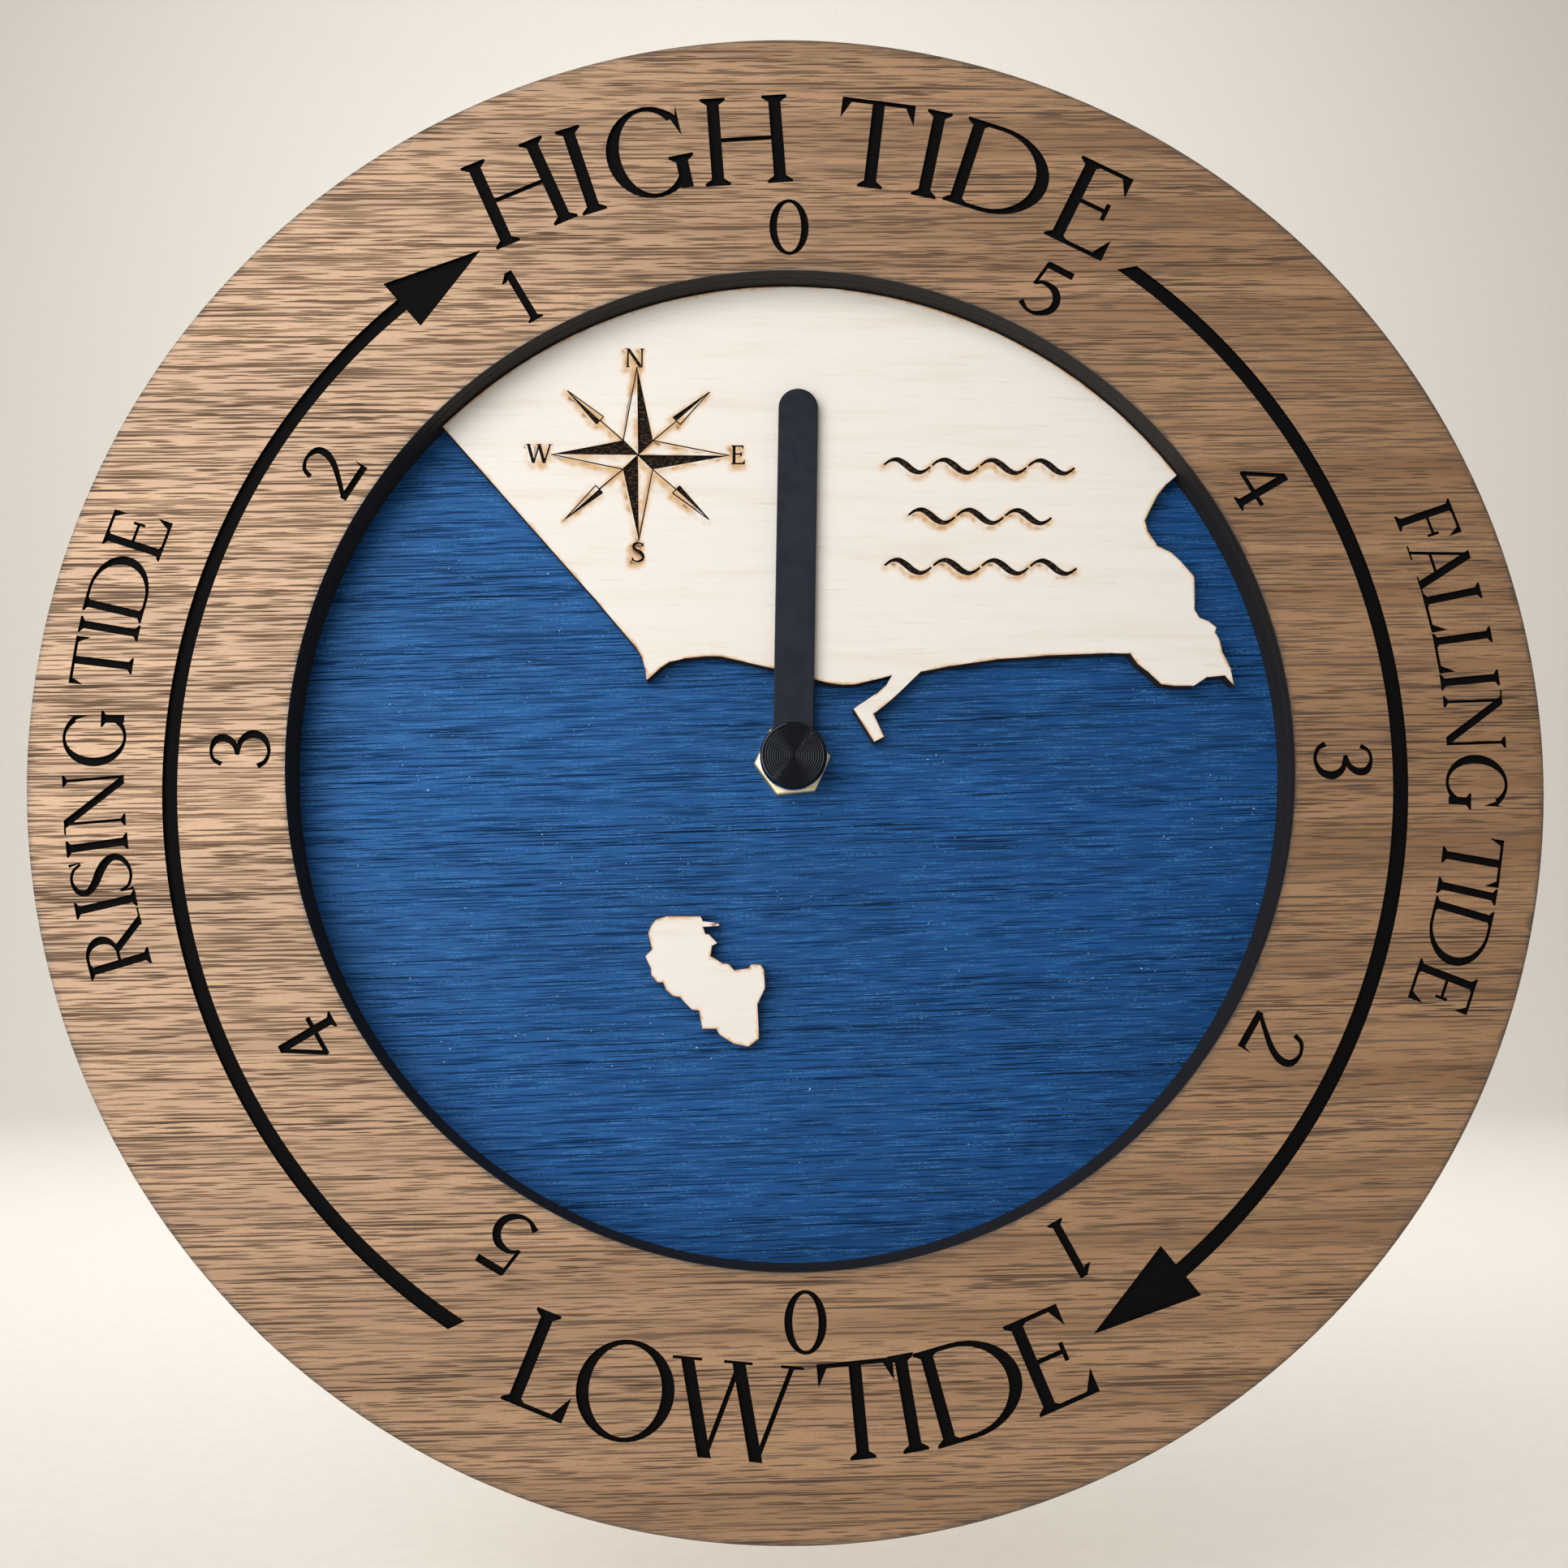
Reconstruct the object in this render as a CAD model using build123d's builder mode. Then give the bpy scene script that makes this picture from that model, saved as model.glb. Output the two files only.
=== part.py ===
from build123d import *
import math
import os

# Wall-hung tide clock: a plywood dial in layers on a quartz tide movement.
# Frame: X to the right, Y into the wall, Z up, lengths in millimetres.
# The origin is the axis of the hanger eye, on the wall plane.
# A station is a distance in front of the wall. A place on the dial or in the
# movement is (across, up) from the centre arbor.

# Dial layers
ring_diameter = 240.0
ring_band = 40.0
front_ring_thick = 3.0
spacer_thick = 6.0
disc_thick = 3.0
overlay_thick = 3.0
overlay_gap = 0.25
disc_bore_gap = 0.2

# Fixing of the movement to the dial
bush_radius = 4.0
bush_flange_radius = 5.5
bush_flange_thick = 0.8
bush_show = 0.8
nut_flats = 11.0
nut_thick = 2.2
nut_chamfer = 0.3
nut_turn = 6.0
washer_radius = 9.0
washer_thick = 1.0

# Hand and its cap
hand_tip_gap = 18.5
hand_width = 6.5
hand_lean = 0.9
hand_thick = 0.8
hand_eye_radius = 4.7
hand_lift = 0.3
collet_radius = 3.3
collet_drop = 0.6
cap_radius = 5.35
cap_thick = 3.0
cap_gap = 0.3
cap_socket_depth = 2.0
cap_chamfer = 0.25

# Running fits and end gaps
running_gap = 0.05
end_gap = 0.25
train_gap = 0.6

# Arbors and pivots
pipe_radius = 2.5
arbor_radius = 1.5
rear_arbor_radius = 0.8
pivot_radius = 0.5
post_radius = 0.75
boss_radius = 1.2
set_arbor_radius = 1.1

# Gear teeth: addendum and dedendum as shares of the module, tooth half widths
# as shares of the angular pitch
motion_module = 0.4
train_module = 0.4
addendum_share = 0.9
dedendum_share = 1.2
wheel_tip_share = 0.10
wheel_root_share = 0.32
pinion_tip_share = 0.10
pinion_root_share = 0.24
wheel_thick = 1.0
layer_gap = 0.5
pinion_overhang = 0.2

# Tooth counts
tide_wheel_teeth = 32
minute_pinion_teeth = 8
minute_wheel_teeth = 30
cannon_teeth = 10
set_pinion_teeth = 10
center_wheel_teeth = 48
third_pinion_teeth = 6
third_wheel_teeth = 45
second_pinion_teeth = 6
second_wheel_teeth = 36
fifth_pinion_teeth = 6
fifth_wheel_teeth = 30
rotor_pinion_teeth = 6

# Directions from one axis to the next, in degrees
minute_direction = -25.0
set_direction = 60.0
third_direction = 125.0
second_direction = 55.0
fifth_direction = -5.0
rotor_direction = -10.0

# Cell and its contacts
cell_diameter = 14.5
cell_length = 50.5
cell_gap = 0.25
cell_nub_radius = 2.75
cell_nub_length = 1.0
contact_room = 1.25
contact_thick = 0.4
contact_width = 4.0
contact_pip_radius = 2.0
contact_touch_gap = 0.05
strip_width = 2.8

# Moulded case
case_wall = 1.5
case_corner = 3.0
cover_thick = 1.5
cover_gap = 0.1
lip_height = 1.2
lip_thick = 0.8
partition_thick = 1.2
plate_thick = 1.2
pillar_radius = 1.3
pillar_peg_radius = 0.7
plate_margin = 1.2

# Hanger
eye_radius = 3.0
hanger_radius = 6.5
hanger_rise = 6.5
hanger_thick = 2.5

# Setting knob
knob_radius = 5.0
knob_gap = 0.5
knob_inset = 0.3
knob_flutes = 12
flute_depth = 0.4
flute_tip_share = 0.16
flute_root_share = 0.34

# Motor
magnet_radius = 2.8
magnet_thick = 2.6
magnet_sleeve_radius = 0.8
stator_gap = 0.5
stator_wall = 2.2
stator_thick = 1.0
stator_arm_width = 1.4
arm_gap = 1.05
lug_radius = 2.0
coil_length = 15.0
bobbin_flange_radius = 3.4
bobbin_flange_thick = 0.8
bobbin_barrel_radius = 2.0
winding_radius = 3.1
core_width = 2.4
core_gap = 0.1
peg_radius = 0.6
peg_show = 0.5

# Circuit board
board_thick = 1.0
board_gap = 0.6
board_end_gap = 1.5
blob_radius = 2.6
blob_height = 1.0
can_radius = 1.0
can_length = 6.0
can_gap = 0.4
post_edge_gap = 2.6

# Moulded posts, pegs and sleeves are hexagonal, given by the radius to a corner.
# Pivots and small rounds behind the dial also have few sides: a pivot is given
# by the radius to a corner, and a hole with sides by the radius to a flat.
post_sides = 6
pivot_sides = 12
round_sides = 24

# Overrun of cuts past a face
overrun = 1.0


def towards(start, degrees, distance):
    """Place at a distance and direction from another place."""
    turn = math.radians(degrees)
    return (start[0] + distance * math.cos(turn), start[1] + distance * math.sin(turn))


def pitch_radius(teeth, module):
    """Pitch radius of a gear."""
    return teeth * module / 2


def tip_radius(teeth, module):
    """Radius over the teeth of a gear."""
    return pitch_radius(teeth, module) + addendum_share * module


def root_radius(teeth, module):
    """Radius under the teeth of a gear."""
    return pitch_radius(teeth, module) - dedendum_share * module


def spacing(teeth, mate_teeth, module):
    """Distance between the axes of two gears in mesh."""
    return pitch_radius(teeth, module) + pitch_radius(mate_teeth, module)


def mesh_phase(degrees, teeth, mate_teeth, phase=0.0):
    """Turn of a mating gear that puts its gap on the first gear's tooth."""
    lead = (degrees - phase) * teeth / 360
    return degrees + 180 - (0.5 - lead) * 360 / mate_teeth


def toothed(axis, teeth, root, tip, root_share, tip_share, phase=0.0):
    """Corners of a gear's outline round an axis."""
    pitch = 360 / teeth
    corners = []
    for tooth in range(teeth):
        middle = phase + tooth * pitch
        corners.append(towards(axis, middle - root_share * pitch, root))
        corners.append(towards(axis, middle - tip_share * pitch, tip))
        corners.append(towards(axis, middle + tip_share * pitch, tip))
        corners.append(towards(axis, middle + root_share * pitch, root))
    return corners


def wheel_outline(axis, teeth, module, phase=0.0):
    """Corners of a large gear's outline."""
    root = root_radius(teeth, module)
    tip = tip_radius(teeth, module)
    return toothed(axis, teeth, root, tip, wheel_root_share, wheel_tip_share, phase)


def pinion_outline(axis, teeth, module, phase=0.0):
    """Corners of a small gear's outline."""
    root = root_radius(teeth, module)
    tip = tip_radius(teeth, module)
    return toothed(axis, teeth, root, tip, pinion_root_share, pinion_tip_share, phase)


def bar(start, end, half_width):
    """Corners of a straight bar between two places."""
    run = math.dist(start, end)
    across = (end[1] - start[1]) / run * half_width
    up = (start[0] - end[0]) / run * half_width
    return [
        (start[0] + across, start[1] + up),
        (end[0] + across, end[1] + up),
        (end[0] - across, end[1] - up),
        (start[0] - across, start[1] - up),
    ]


# Opening of the rings, and the hand's reach in it
opening_diameter = ring_diameter - 2 * ring_band
hand_length = opening_diameter / 2 - hand_tip_gap

# Axes of the train, from the centre arbor
center_axis = (0, 0)
minute_span = spacing(minute_wheel_teeth, cannon_teeth, motion_module)
minute_axis = towards(center_axis, minute_direction, minute_span)
set_span = spacing(minute_wheel_teeth, set_pinion_teeth, motion_module)
set_axis = towards(minute_axis, set_direction, set_span)
third_span = spacing(center_wheel_teeth, third_pinion_teeth, train_module)
third_axis = towards(center_axis, third_direction, third_span)
second_span = spacing(third_wheel_teeth, second_pinion_teeth, train_module)
second_axis = towards(third_axis, second_direction, second_span)
fifth_span = spacing(second_wheel_teeth, fifth_pinion_teeth, train_module)
fifth_axis = towards(second_axis, fifth_direction, fifth_span)
rotor_span = spacing(fifth_wheel_teeth, rotor_pinion_teeth, train_module)
rotor_axis = towards(fifth_axis, rotor_direction, rotor_span)

# Turns that bring the teeth into mesh at rest
minute_pinion_phase = mesh_phase(minute_direction, tide_wheel_teeth, minute_pinion_teeth)
cannon_phase = mesh_phase(minute_direction + 180, minute_wheel_teeth, cannon_teeth)
set_phase = mesh_phase(set_direction, minute_wheel_teeth, set_pinion_teeth)
third_phase = mesh_phase(third_direction, center_wheel_teeth, third_pinion_teeth)
second_phase = mesh_phase(second_direction, third_wheel_teeth, second_pinion_teeth)
fifth_phase = mesh_phase(fifth_direction, second_wheel_teeth, fifth_pinion_teeth)
rotor_phase = mesh_phase(rotor_direction, fifth_wheel_teeth, rotor_pinion_teeth)

# Radii over the wheels' teeth
center_tip = tip_radius(center_wheel_teeth, train_module)
third_tip = tip_radius(third_wheel_teeth, train_module)
second_tip = tip_radius(second_wheel_teeth, train_module)
fifth_tip = tip_radius(fifth_wheel_teeth, train_module)
minute_tip = tip_radius(minute_wheel_teeth, motion_module)

# Supports of the train plate, each just clear of one wheel
support_reach = train_gap + pillar_radius
minute_pillar = towards(minute_axis, -30, minute_tip + support_reach)
pillars = [
    towards(center_axis, 205, center_tip + support_reach),
    towards(third_axis, 115, third_tip + support_reach),
    towards(fifth_axis, 50, fifth_tip + support_reach),
    minute_pillar,
]

# The motor's arm clears the last pillar, and the coil clears the arm
arm_x = minute_pillar[0] + pillar_radius + arm_gap + stator_arm_width / 2
coil_x = arm_x + stator_arm_width / 2 + 3 * core_gap + bobbin_flange_radius

# Inside and outside of the case, from the centre arbor. It is as wide as the
# longer of the cell with its contacts and the train with its motor.
half_bay = cell_length / 2 + contact_room
half_train = coil_x + bobbin_flange_radius + 2 * train_gap
half_chamber = max(half_bay, half_train)
chamber_low = -(center_tip + train_gap)
chamber_high = second_axis[1] + second_tip + train_gap
bay_high = chamber_low - partition_thick
bay_low = bay_high - cell_diameter - 2 * cell_gap
case_low = bay_low - case_wall
case_high = chamber_high + case_wall
case_width = 2 * (half_chamber + case_wall)
case_height = case_high - case_low
case_middle = (case_high + case_low) / 2
arbor_height = -(case_high + hanger_rise)

# Stations, from the wall. The case is as deep as the thicker of the cell and
# the train between the cover's lip and the bush.
layer_pitch = wheel_thick + layer_gap
bay_depth = cell_diameter + 2 * cell_gap
plate_depth = cover_thick + lip_height + end_gap + plate_thick
train_depth = pinion_overhang + layer_gap + 5 * layer_pitch + wheel_thick + end_gap + bush_flange_thick
case_inner = max(bay_depth, plate_depth + train_depth)
case_depth = case_inner + case_wall
tide_station = case_inner - bush_flange_thick - end_gap - wheel_thick
motion_station = tide_station - layer_pitch
center_station = motion_station - layer_pitch
third_station = center_station - layer_pitch
second_station = third_station - layer_pitch
fifth_station = second_station - layer_pitch
plate_front = fifth_station - layer_gap - pinion_overhang
plate_rear = plate_front - plate_thick
disc_station = case_depth + washer_thick
dial_station = disc_station + disc_thick
ring_station = dial_station + spacer_thick
nut_end = dial_station + nut_thick
bush_end = nut_end + bush_show
collet_station = bush_end + hand_lift
hand_station = collet_station + collet_drop
hand_front = hand_station + hand_thick
cap_station = hand_front + cap_gap
stator_station = third_station
core_station = stator_station + stator_thick
cell_station = case_inner - cell_gap - cell_diameter / 2

# Places of the motor
lug_low = (coil_x, chamber_low + lug_radius * 1.6)
coil_low = lug_low[1] + lug_radius + core_gap
lug_high = (coil_x, coil_low + coil_length + core_gap + lug_radius)
stator_hole = magnet_radius + stator_gap
stator_rim = stator_hole + stator_wall

# Places of the circuit board
board_left = -half_chamber + board_gap
board_right = third_axis[0] - third_tip - board_gap
board_low = chamber_low + board_end_gap
board_high = chamber_high - board_end_gap
board_x = (board_left + board_right) / 2
board_station = second_station - layer_gap
board_post_low = board_low + contact_width + pillar_radius + board_gap
board_posts = [(board_x, board_post_low), (board_x, board_high - post_edge_gap)]

# Outlines of the two overlays, as shares of the opening's radius
coast_shares = [
    (-0.800, 0.777), (-0.400, 0.324), (-0.319, 0.228), (-0.306, 0.205), (-0.300, 0.183),
    (-0.296, 0.160), (-0.268, 0.186), (-0.250, 0.198), (-0.222, 0.205), (-0.176, 0.210),
    (-0.148, 0.210), (-0.111, 0.202), (-0.037, 0.185), (0.049, 0.162), (0.079, 0.155),
    (0.103, 0.152), (0.126, 0.153), (0.163, 0.162), (0.202, 0.172), (0.191, 0.153),
    (0.172, 0.136), (0.123, 0.103), (0.165, 0.035), (0.186, 0.046), (0.165, 0.093),
    (0.205, 0.125), (0.261, 0.180), (0.321, 0.192), (0.421, 0.207), (0.521, 0.215),
    (0.654, 0.221), (0.692, 0.220), (0.707, 0.198), (0.727, 0.183), (0.755, 0.156),
    (0.782, 0.153), (0.821, 0.153), (0.848, 0.171), (0.886, 0.175), (0.905, 0.154),
    (0.898, 0.193), (0.883, 0.223), (0.879, 0.246), (0.869, 0.265), (0.872, 0.276),
    (0.856, 0.289), (0.838, 0.296), (0.828, 0.313), (0.829, 0.383), (0.805, 0.411),
    (0.783, 0.433), (0.754, 0.447), (0.734, 0.480), (0.730, 0.500), (0.739, 0.519),
    (0.757, 0.553), (0.776, 0.577), (0.880, 0.668), (1.200, 1.200), (-1.200, 1.200),
]
island_shares = [
    (-0.289, -0.352), (-0.283, -0.336), (-0.273, -0.324), (-0.252, -0.317), (-0.185, -0.317),
    (-0.179, -0.328), (-0.150, -0.331), (-0.145, -0.337), (-0.179, -0.339), (-0.174, -0.353),
    (-0.167, -0.354), (-0.150, -0.371), (-0.161, -0.377), (-0.164, -0.397), (-0.140, -0.411),
    (-0.128, -0.412), (-0.117, -0.425), (-0.088, -0.421), (-0.082, -0.413), (-0.064, -0.414),
    (-0.057, -0.425), (-0.055, -0.461), (-0.070, -0.493), (-0.067, -0.560), (-0.088, -0.576),
    (-0.118, -0.570), (-0.145, -0.553), (-0.152, -0.541), (-0.180, -0.541), (-0.187, -0.505),
    (-0.201, -0.503), (-0.225, -0.478), (-0.239, -0.476), (-0.253, -0.463), (-0.258, -0.450),
    (-0.270, -0.449), (-0.282, -0.435), (-0.283, -0.421), (-0.294, -0.397), (-0.281, -0.384),
]


def facing(station, lean=0.0):
    """Plane parallel to the wall that faces the room, centred on the arbor."""
    turn = math.radians(lean)
    level = (math.cos(turn), 0, -math.sin(turn))
    return Plane(origin=(0, -station, arbor_height), x_dir=level, z_dir=(0, -1, 0))


def sideways(across, up, station):
    """Plane across the case that faces right, centred on a place in it."""
    return Plane(origin=(across, -station, arbor_height + up), x_dir=(0, 1, 0), z_dir=(1, 0, 0))


def scaled(shares):
    """Places on the dial from shares of the opening's radius."""
    return [(across * opening_diameter / 2, up * opening_diameter / 2) for across, up in shares]


def save(piece, name):
    """Label a piece and write its file."""
    piece.label = name
    export_step(piece, os.path.join("parts", name + ".step"))


os.makedirs("parts", exist_ok=True)

# Front ring
with BuildPart() as front_ring:
    with BuildSketch(facing(ring_station)):
        Circle(ring_diameter / 2)
        Circle(opening_diameter / 2, mode=Mode.SUBTRACT)
    extrude(amount=front_ring_thick)
save(front_ring.part, "front_ring")

# Spacer ring behind it
with BuildPart() as spacer_ring:
    with BuildSketch(facing(dial_station)):
        Circle(ring_diameter / 2)
        Circle(opening_diameter / 2, mode=Mode.SUBTRACT)
    extrude(amount=spacer_thick)
save(spacer_ring.part, "spacer_ring")

# Backing disc with the movement's hole
with BuildPart() as back_disc:
    with BuildSketch(facing(disc_station)):
        Circle(ring_diameter / 2)
        RegularPolygon(bush_radius + disc_bore_gap, round_sides, major_radius=False, mode=Mode.SUBTRACT)
    extrude(amount=disc_thick)
save(back_disc.part, "back_disc")

# Land overlay, butting against the opening's wall
with BuildPart() as land_overlay:
    with BuildSketch(facing(dial_station)):
        with BuildLine():
            Polyline(*scaled(coast_shares), close=True)
        make_face()
        Circle(opening_diameter / 2 - overlay_gap, mode=Mode.INTERSECT)
    extrude(amount=overlay_thick)
save(land_overlay.part, "land_overlay")

# Island overlay
with BuildPart() as island_overlay:
    with BuildSketch(facing(dial_station)):
        with BuildLine():
            Polyline(*scaled(island_shares), close=True)
        make_face()
    extrude(amount=overlay_thick)
save(island_overlay.part, "island_overlay")

# Rubber washer between the movement and the disc
with BuildPart() as rubber_washer:
    with BuildSketch(facing(case_depth)):
        RegularPolygon(washer_radius, round_sides)
        RegularPolygon(bush_radius + disc_bore_gap, round_sides, major_radius=False, mode=Mode.SUBTRACT)
    extrude(amount=washer_thick)
save(rubber_washer.part, "rubber_washer")

# Threaded bush, moulded into the case front
with BuildPart() as mount_bush:
    with BuildSketch(facing(case_inner - bush_flange_thick)):
        RegularPolygon(bush_flange_radius, post_sides)
    extrude(amount=bush_flange_thick)
    with BuildSketch(facing(case_inner)):
        Circle(bush_radius)
    extrude(amount=bush_end - case_inner)
    with BuildSketch(facing(case_inner - bush_flange_thick - overrun)):
        RegularPolygon(pipe_radius + running_gap, pivot_sides, major_radius=False)
    extrude(amount=bush_end - case_inner + bush_flange_thick + 2 * overrun, mode=Mode.SUBTRACT)
save(mount_bush.part, "mount_bush")

# Hexagon nut on the bush, as the tightening left it
with BuildPart() as hex_nut:
    with BuildSketch(facing(dial_station)):
        RegularPolygon(nut_flats / 2, 6, major_radius=False, rotation=nut_turn)
        Circle(bush_radius, mode=Mode.SUBTRACT)
    extrude(amount=nut_thick)
    chamfer(hex_nut.faces().sort_by(Axis.Y)[0].outer_wire().edges(), nut_chamfer)
save(hex_nut.part, "hex_nut")

# Hand, pointing just past the top of the dial
with BuildPart() as tide_hand:
    tip_centre = hand_length - hand_width / 2
    with BuildSketch(facing(hand_station, hand_lean)):
        Circle(hand_eye_radius)
        with Locations((0, tip_centre / 2)):
            Rectangle(hand_width, tip_centre)
        with Locations((0, tip_centre)):
            Circle(hand_width / 2)
        Circle(collet_radius, mode=Mode.SUBTRACT)
    extrude(amount=hand_thick)
save(tide_hand.part, "tide_hand")

# Collet that grips the pipe
with BuildPart() as hand_collet:
    with BuildSketch(facing(collet_station)):
        Circle(collet_radius)
        RegularPolygon(pipe_radius, pivot_sides, mode=Mode.SUBTRACT)
    extrude(amount=hand_front - collet_station)
save(hand_collet.part, "hand_collet")

# Cap on the end of the centre arbor
with BuildPart() as hand_cap:
    with BuildSketch(facing(cap_station)):
        Circle(cap_radius)
    extrude(amount=cap_thick)
    chamfer(hand_cap.faces().sort_by(Axis.Y)[0].edges(), cap_chamfer)
    with BuildSketch(facing(cap_station)):
        RegularPolygon(arbor_radius, pivot_sides)
    extrude(amount=cap_socket_depth, mode=Mode.SUBTRACT)
save(hand_cap.part, "hand_cap")

# Tide wheel with the pipe that carries the hand
with BuildPart() as tide_wheel:
    with BuildSketch(facing(tide_station)):
        with BuildLine():
            Polyline(*wheel_outline(center_axis, tide_wheel_teeth, motion_module), close=True)
        make_face()
    extrude(amount=wheel_thick)
    with BuildSketch(facing(tide_station)):
        RegularPolygon(pipe_radius, pivot_sides)
    extrude(amount=hand_front - tide_station)
    with BuildSketch(facing(tide_station - overrun)):
        RegularPolygon(arbor_radius + running_gap, pivot_sides, major_radius=False)
    extrude(amount=hand_front - tide_station + 2 * overrun, mode=Mode.SUBTRACT)
save(tide_wheel.part, "tide_wheel")

# Centre arbor with the cannon pinion
with BuildPart() as center_arbor:
    cannon_station = motion_station - pinion_overhang
    cannon_length = wheel_thick + 2 * pinion_overhang
    collar_station = center_station - layer_gap * 0.8
    collar_radius = (arbor_radius + root_radius(cannon_teeth, motion_module)) * 0.7
    with BuildSketch(facing(cannon_station)):
        with BuildLine():
            Polyline(*pinion_outline(center_axis, cannon_teeth, motion_module, cannon_phase), close=True)
        make_face()
    extrude(amount=cannon_length)
    with BuildSketch(facing(collar_station)):
        RegularPolygon(arbor_radius, pivot_sides)
    extrude(amount=cap_station + cap_socket_depth - collar_station)
    with BuildSketch(facing(collar_station)):
        RegularPolygon(collar_radius, post_sides)
    extrude(amount=layer_gap * 0.6)
    with BuildSketch(facing(plate_rear)):
        RegularPolygon(rear_arbor_radius, pivot_sides)
    extrude(amount=collar_station - plate_rear)
save(center_arbor.part, "center_arbor")

# Centre wheel, a slip fit on the arbor
with BuildPart() as center_wheel:
    with BuildSketch(facing(center_station)):
        with BuildLine():
            Polyline(*wheel_outline(center_axis, center_wheel_teeth, train_module), close=True)
        make_face()
        RegularPolygon(arbor_radius + running_gap, pivot_sides, major_radius=False, mode=Mode.SUBTRACT)
    extrude(amount=wheel_thick)
save(center_wheel.part, "center_wheel")

# Minute wheel and pinion, turning on a post of the case
with BuildPart() as minute_wheel:
    with BuildSketch(facing(motion_station)):
        with BuildLine():
            Polyline(*wheel_outline(minute_axis, minute_wheel_teeth, motion_module), close=True)
        make_face()
    extrude(amount=wheel_thick)
    with BuildSketch(facing(motion_station + wheel_thick)):
        with BuildLine():
            Polyline(
                *pinion_outline(minute_axis, minute_pinion_teeth, motion_module, minute_pinion_phase),
                close=True,
            )
        make_face()
    extrude(amount=layer_pitch + pinion_overhang)
    with BuildSketch(facing(motion_station - overrun)):
        with Locations(minute_axis):
            Circle(post_radius + running_gap)
    extrude(amount=2 * layer_pitch + 2 * overrun, mode=Mode.SUBTRACT)
save(minute_wheel.part, "minute_wheel")


def train_piece(axis, station, teeth, mate_teeth, phase):
    """Wheel, pinion, arbor and pivots of one step of the going train."""
    pinion_end = station + wheel_thick + layer_pitch + pinion_overhang
    with BuildPart() as piece:
        with BuildSketch(facing(station)):
            with BuildLine():
                Polyline(*wheel_outline(axis, teeth, train_module), close=True)
            make_face()
        extrude(amount=wheel_thick)
        with BuildSketch(facing(station + wheel_thick)):
            with BuildLine():
                Polyline(*pinion_outline(axis, mate_teeth, train_module, phase), close=True)
            make_face()
        extrude(amount=layer_pitch + pinion_overhang)
        with BuildSketch(facing(plate_front + end_gap)):
            with Locations(axis):
                RegularPolygon(rear_arbor_radius, post_sides)
        extrude(amount=station - plate_front - end_gap)
        with BuildSketch(facing(plate_rear)):
            with Locations(axis):
                RegularPolygon(pivot_radius, pivot_sides)
        extrude(amount=pinion_end + 2 * end_gap + wheel_thick - plate_rear)
    return piece.part


third_wheel = train_piece(third_axis, third_station, third_wheel_teeth, third_pinion_teeth, third_phase)
save(third_wheel, "third_wheel")
second_wheel = train_piece(second_axis, second_station, second_wheel_teeth, second_pinion_teeth, second_phase)
save(second_wheel, "second_wheel")
fifth_wheel = train_piece(fifth_axis, fifth_station, fifth_wheel_teeth, fifth_pinion_teeth, fifth_phase)
save(fifth_wheel, "fifth_wheel")

# Rotor: pinion with its arbor, and the magnet on it
magnet_station = stator_station + stator_thick / 2 - magnet_thick / 2
magnet_end = magnet_station + magnet_thick
with BuildPart() as rotor_pinion:
    with BuildSketch(facing(fifth_station - pinion_overhang)):
        with BuildLine():
            Polyline(*pinion_outline(rotor_axis, rotor_pinion_teeth, train_module, rotor_phase), close=True)
        make_face()
    extrude(amount=wheel_thick + 2 * pinion_overhang)
    with BuildSketch(facing(fifth_station)):
        with Locations(rotor_axis):
            RegularPolygon(magnet_sleeve_radius, post_sides)
    extrude(amount=magnet_end - fifth_station)
    with BuildSketch(facing(plate_rear)):
        with Locations(rotor_axis):
            RegularPolygon(pivot_radius, pivot_sides)
    extrude(amount=magnet_end + 2 * end_gap + wheel_thick - plate_rear)
save(rotor_pinion.part, "rotor_pinion")

with BuildPart() as rotor_magnet:
    with BuildSketch(facing(magnet_station)):
        with Locations(rotor_axis):
            RegularPolygon(magnet_radius, round_sides)
            RegularPolygon(magnet_sleeve_radius, post_sides, mode=Mode.SUBTRACT)
    extrude(amount=magnet_thick)
save(rotor_magnet.part, "rotor_magnet")

# Setting arbor with its pinion, and the knob at the back
knob_end = (cover_thick + plate_rear) / 2
set_end = motion_station + wheel_thick + pinion_overhang
with BuildPart() as set_arbor:
    with BuildSketch(facing(motion_station - pinion_overhang)):
        with BuildLine():
            Polyline(*pinion_outline(set_axis, set_pinion_teeth, motion_module, set_phase), close=True)
        make_face()
    extrude(amount=wheel_thick + 2 * pinion_overhang)
    with BuildSketch(facing((knob_inset + knob_end) / 2)):
        with Locations(set_axis):
            RegularPolygon(set_arbor_radius, pivot_sides)
    extrude(amount=motion_station - (knob_inset + knob_end) / 2)
    with BuildSketch(facing(motion_station)):
        with Locations(set_axis):
            RegularPolygon(pivot_radius, pivot_sides)
    extrude(amount=set_end + 2 * end_gap + wheel_thick - motion_station)
save(set_arbor.part, "set_arbor")

with BuildPart() as set_knob:
    flutes = toothed(
        set_axis, knob_flutes, knob_radius - flute_depth, knob_radius, flute_root_share, flute_tip_share
    )
    with BuildSketch(facing(knob_inset)):
        with BuildLine():
            Polyline(*flutes, close=True)
        make_face()
    extrude(amount=knob_end - knob_inset)
    with BuildSketch(facing((knob_inset + knob_end) / 2)):
        with Locations(set_axis):
            RegularPolygon(set_arbor_radius, pivot_sides)
    extrude(amount=knob_end, mode=Mode.SUBTRACT)
save(set_knob.part, "set_knob")

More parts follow.
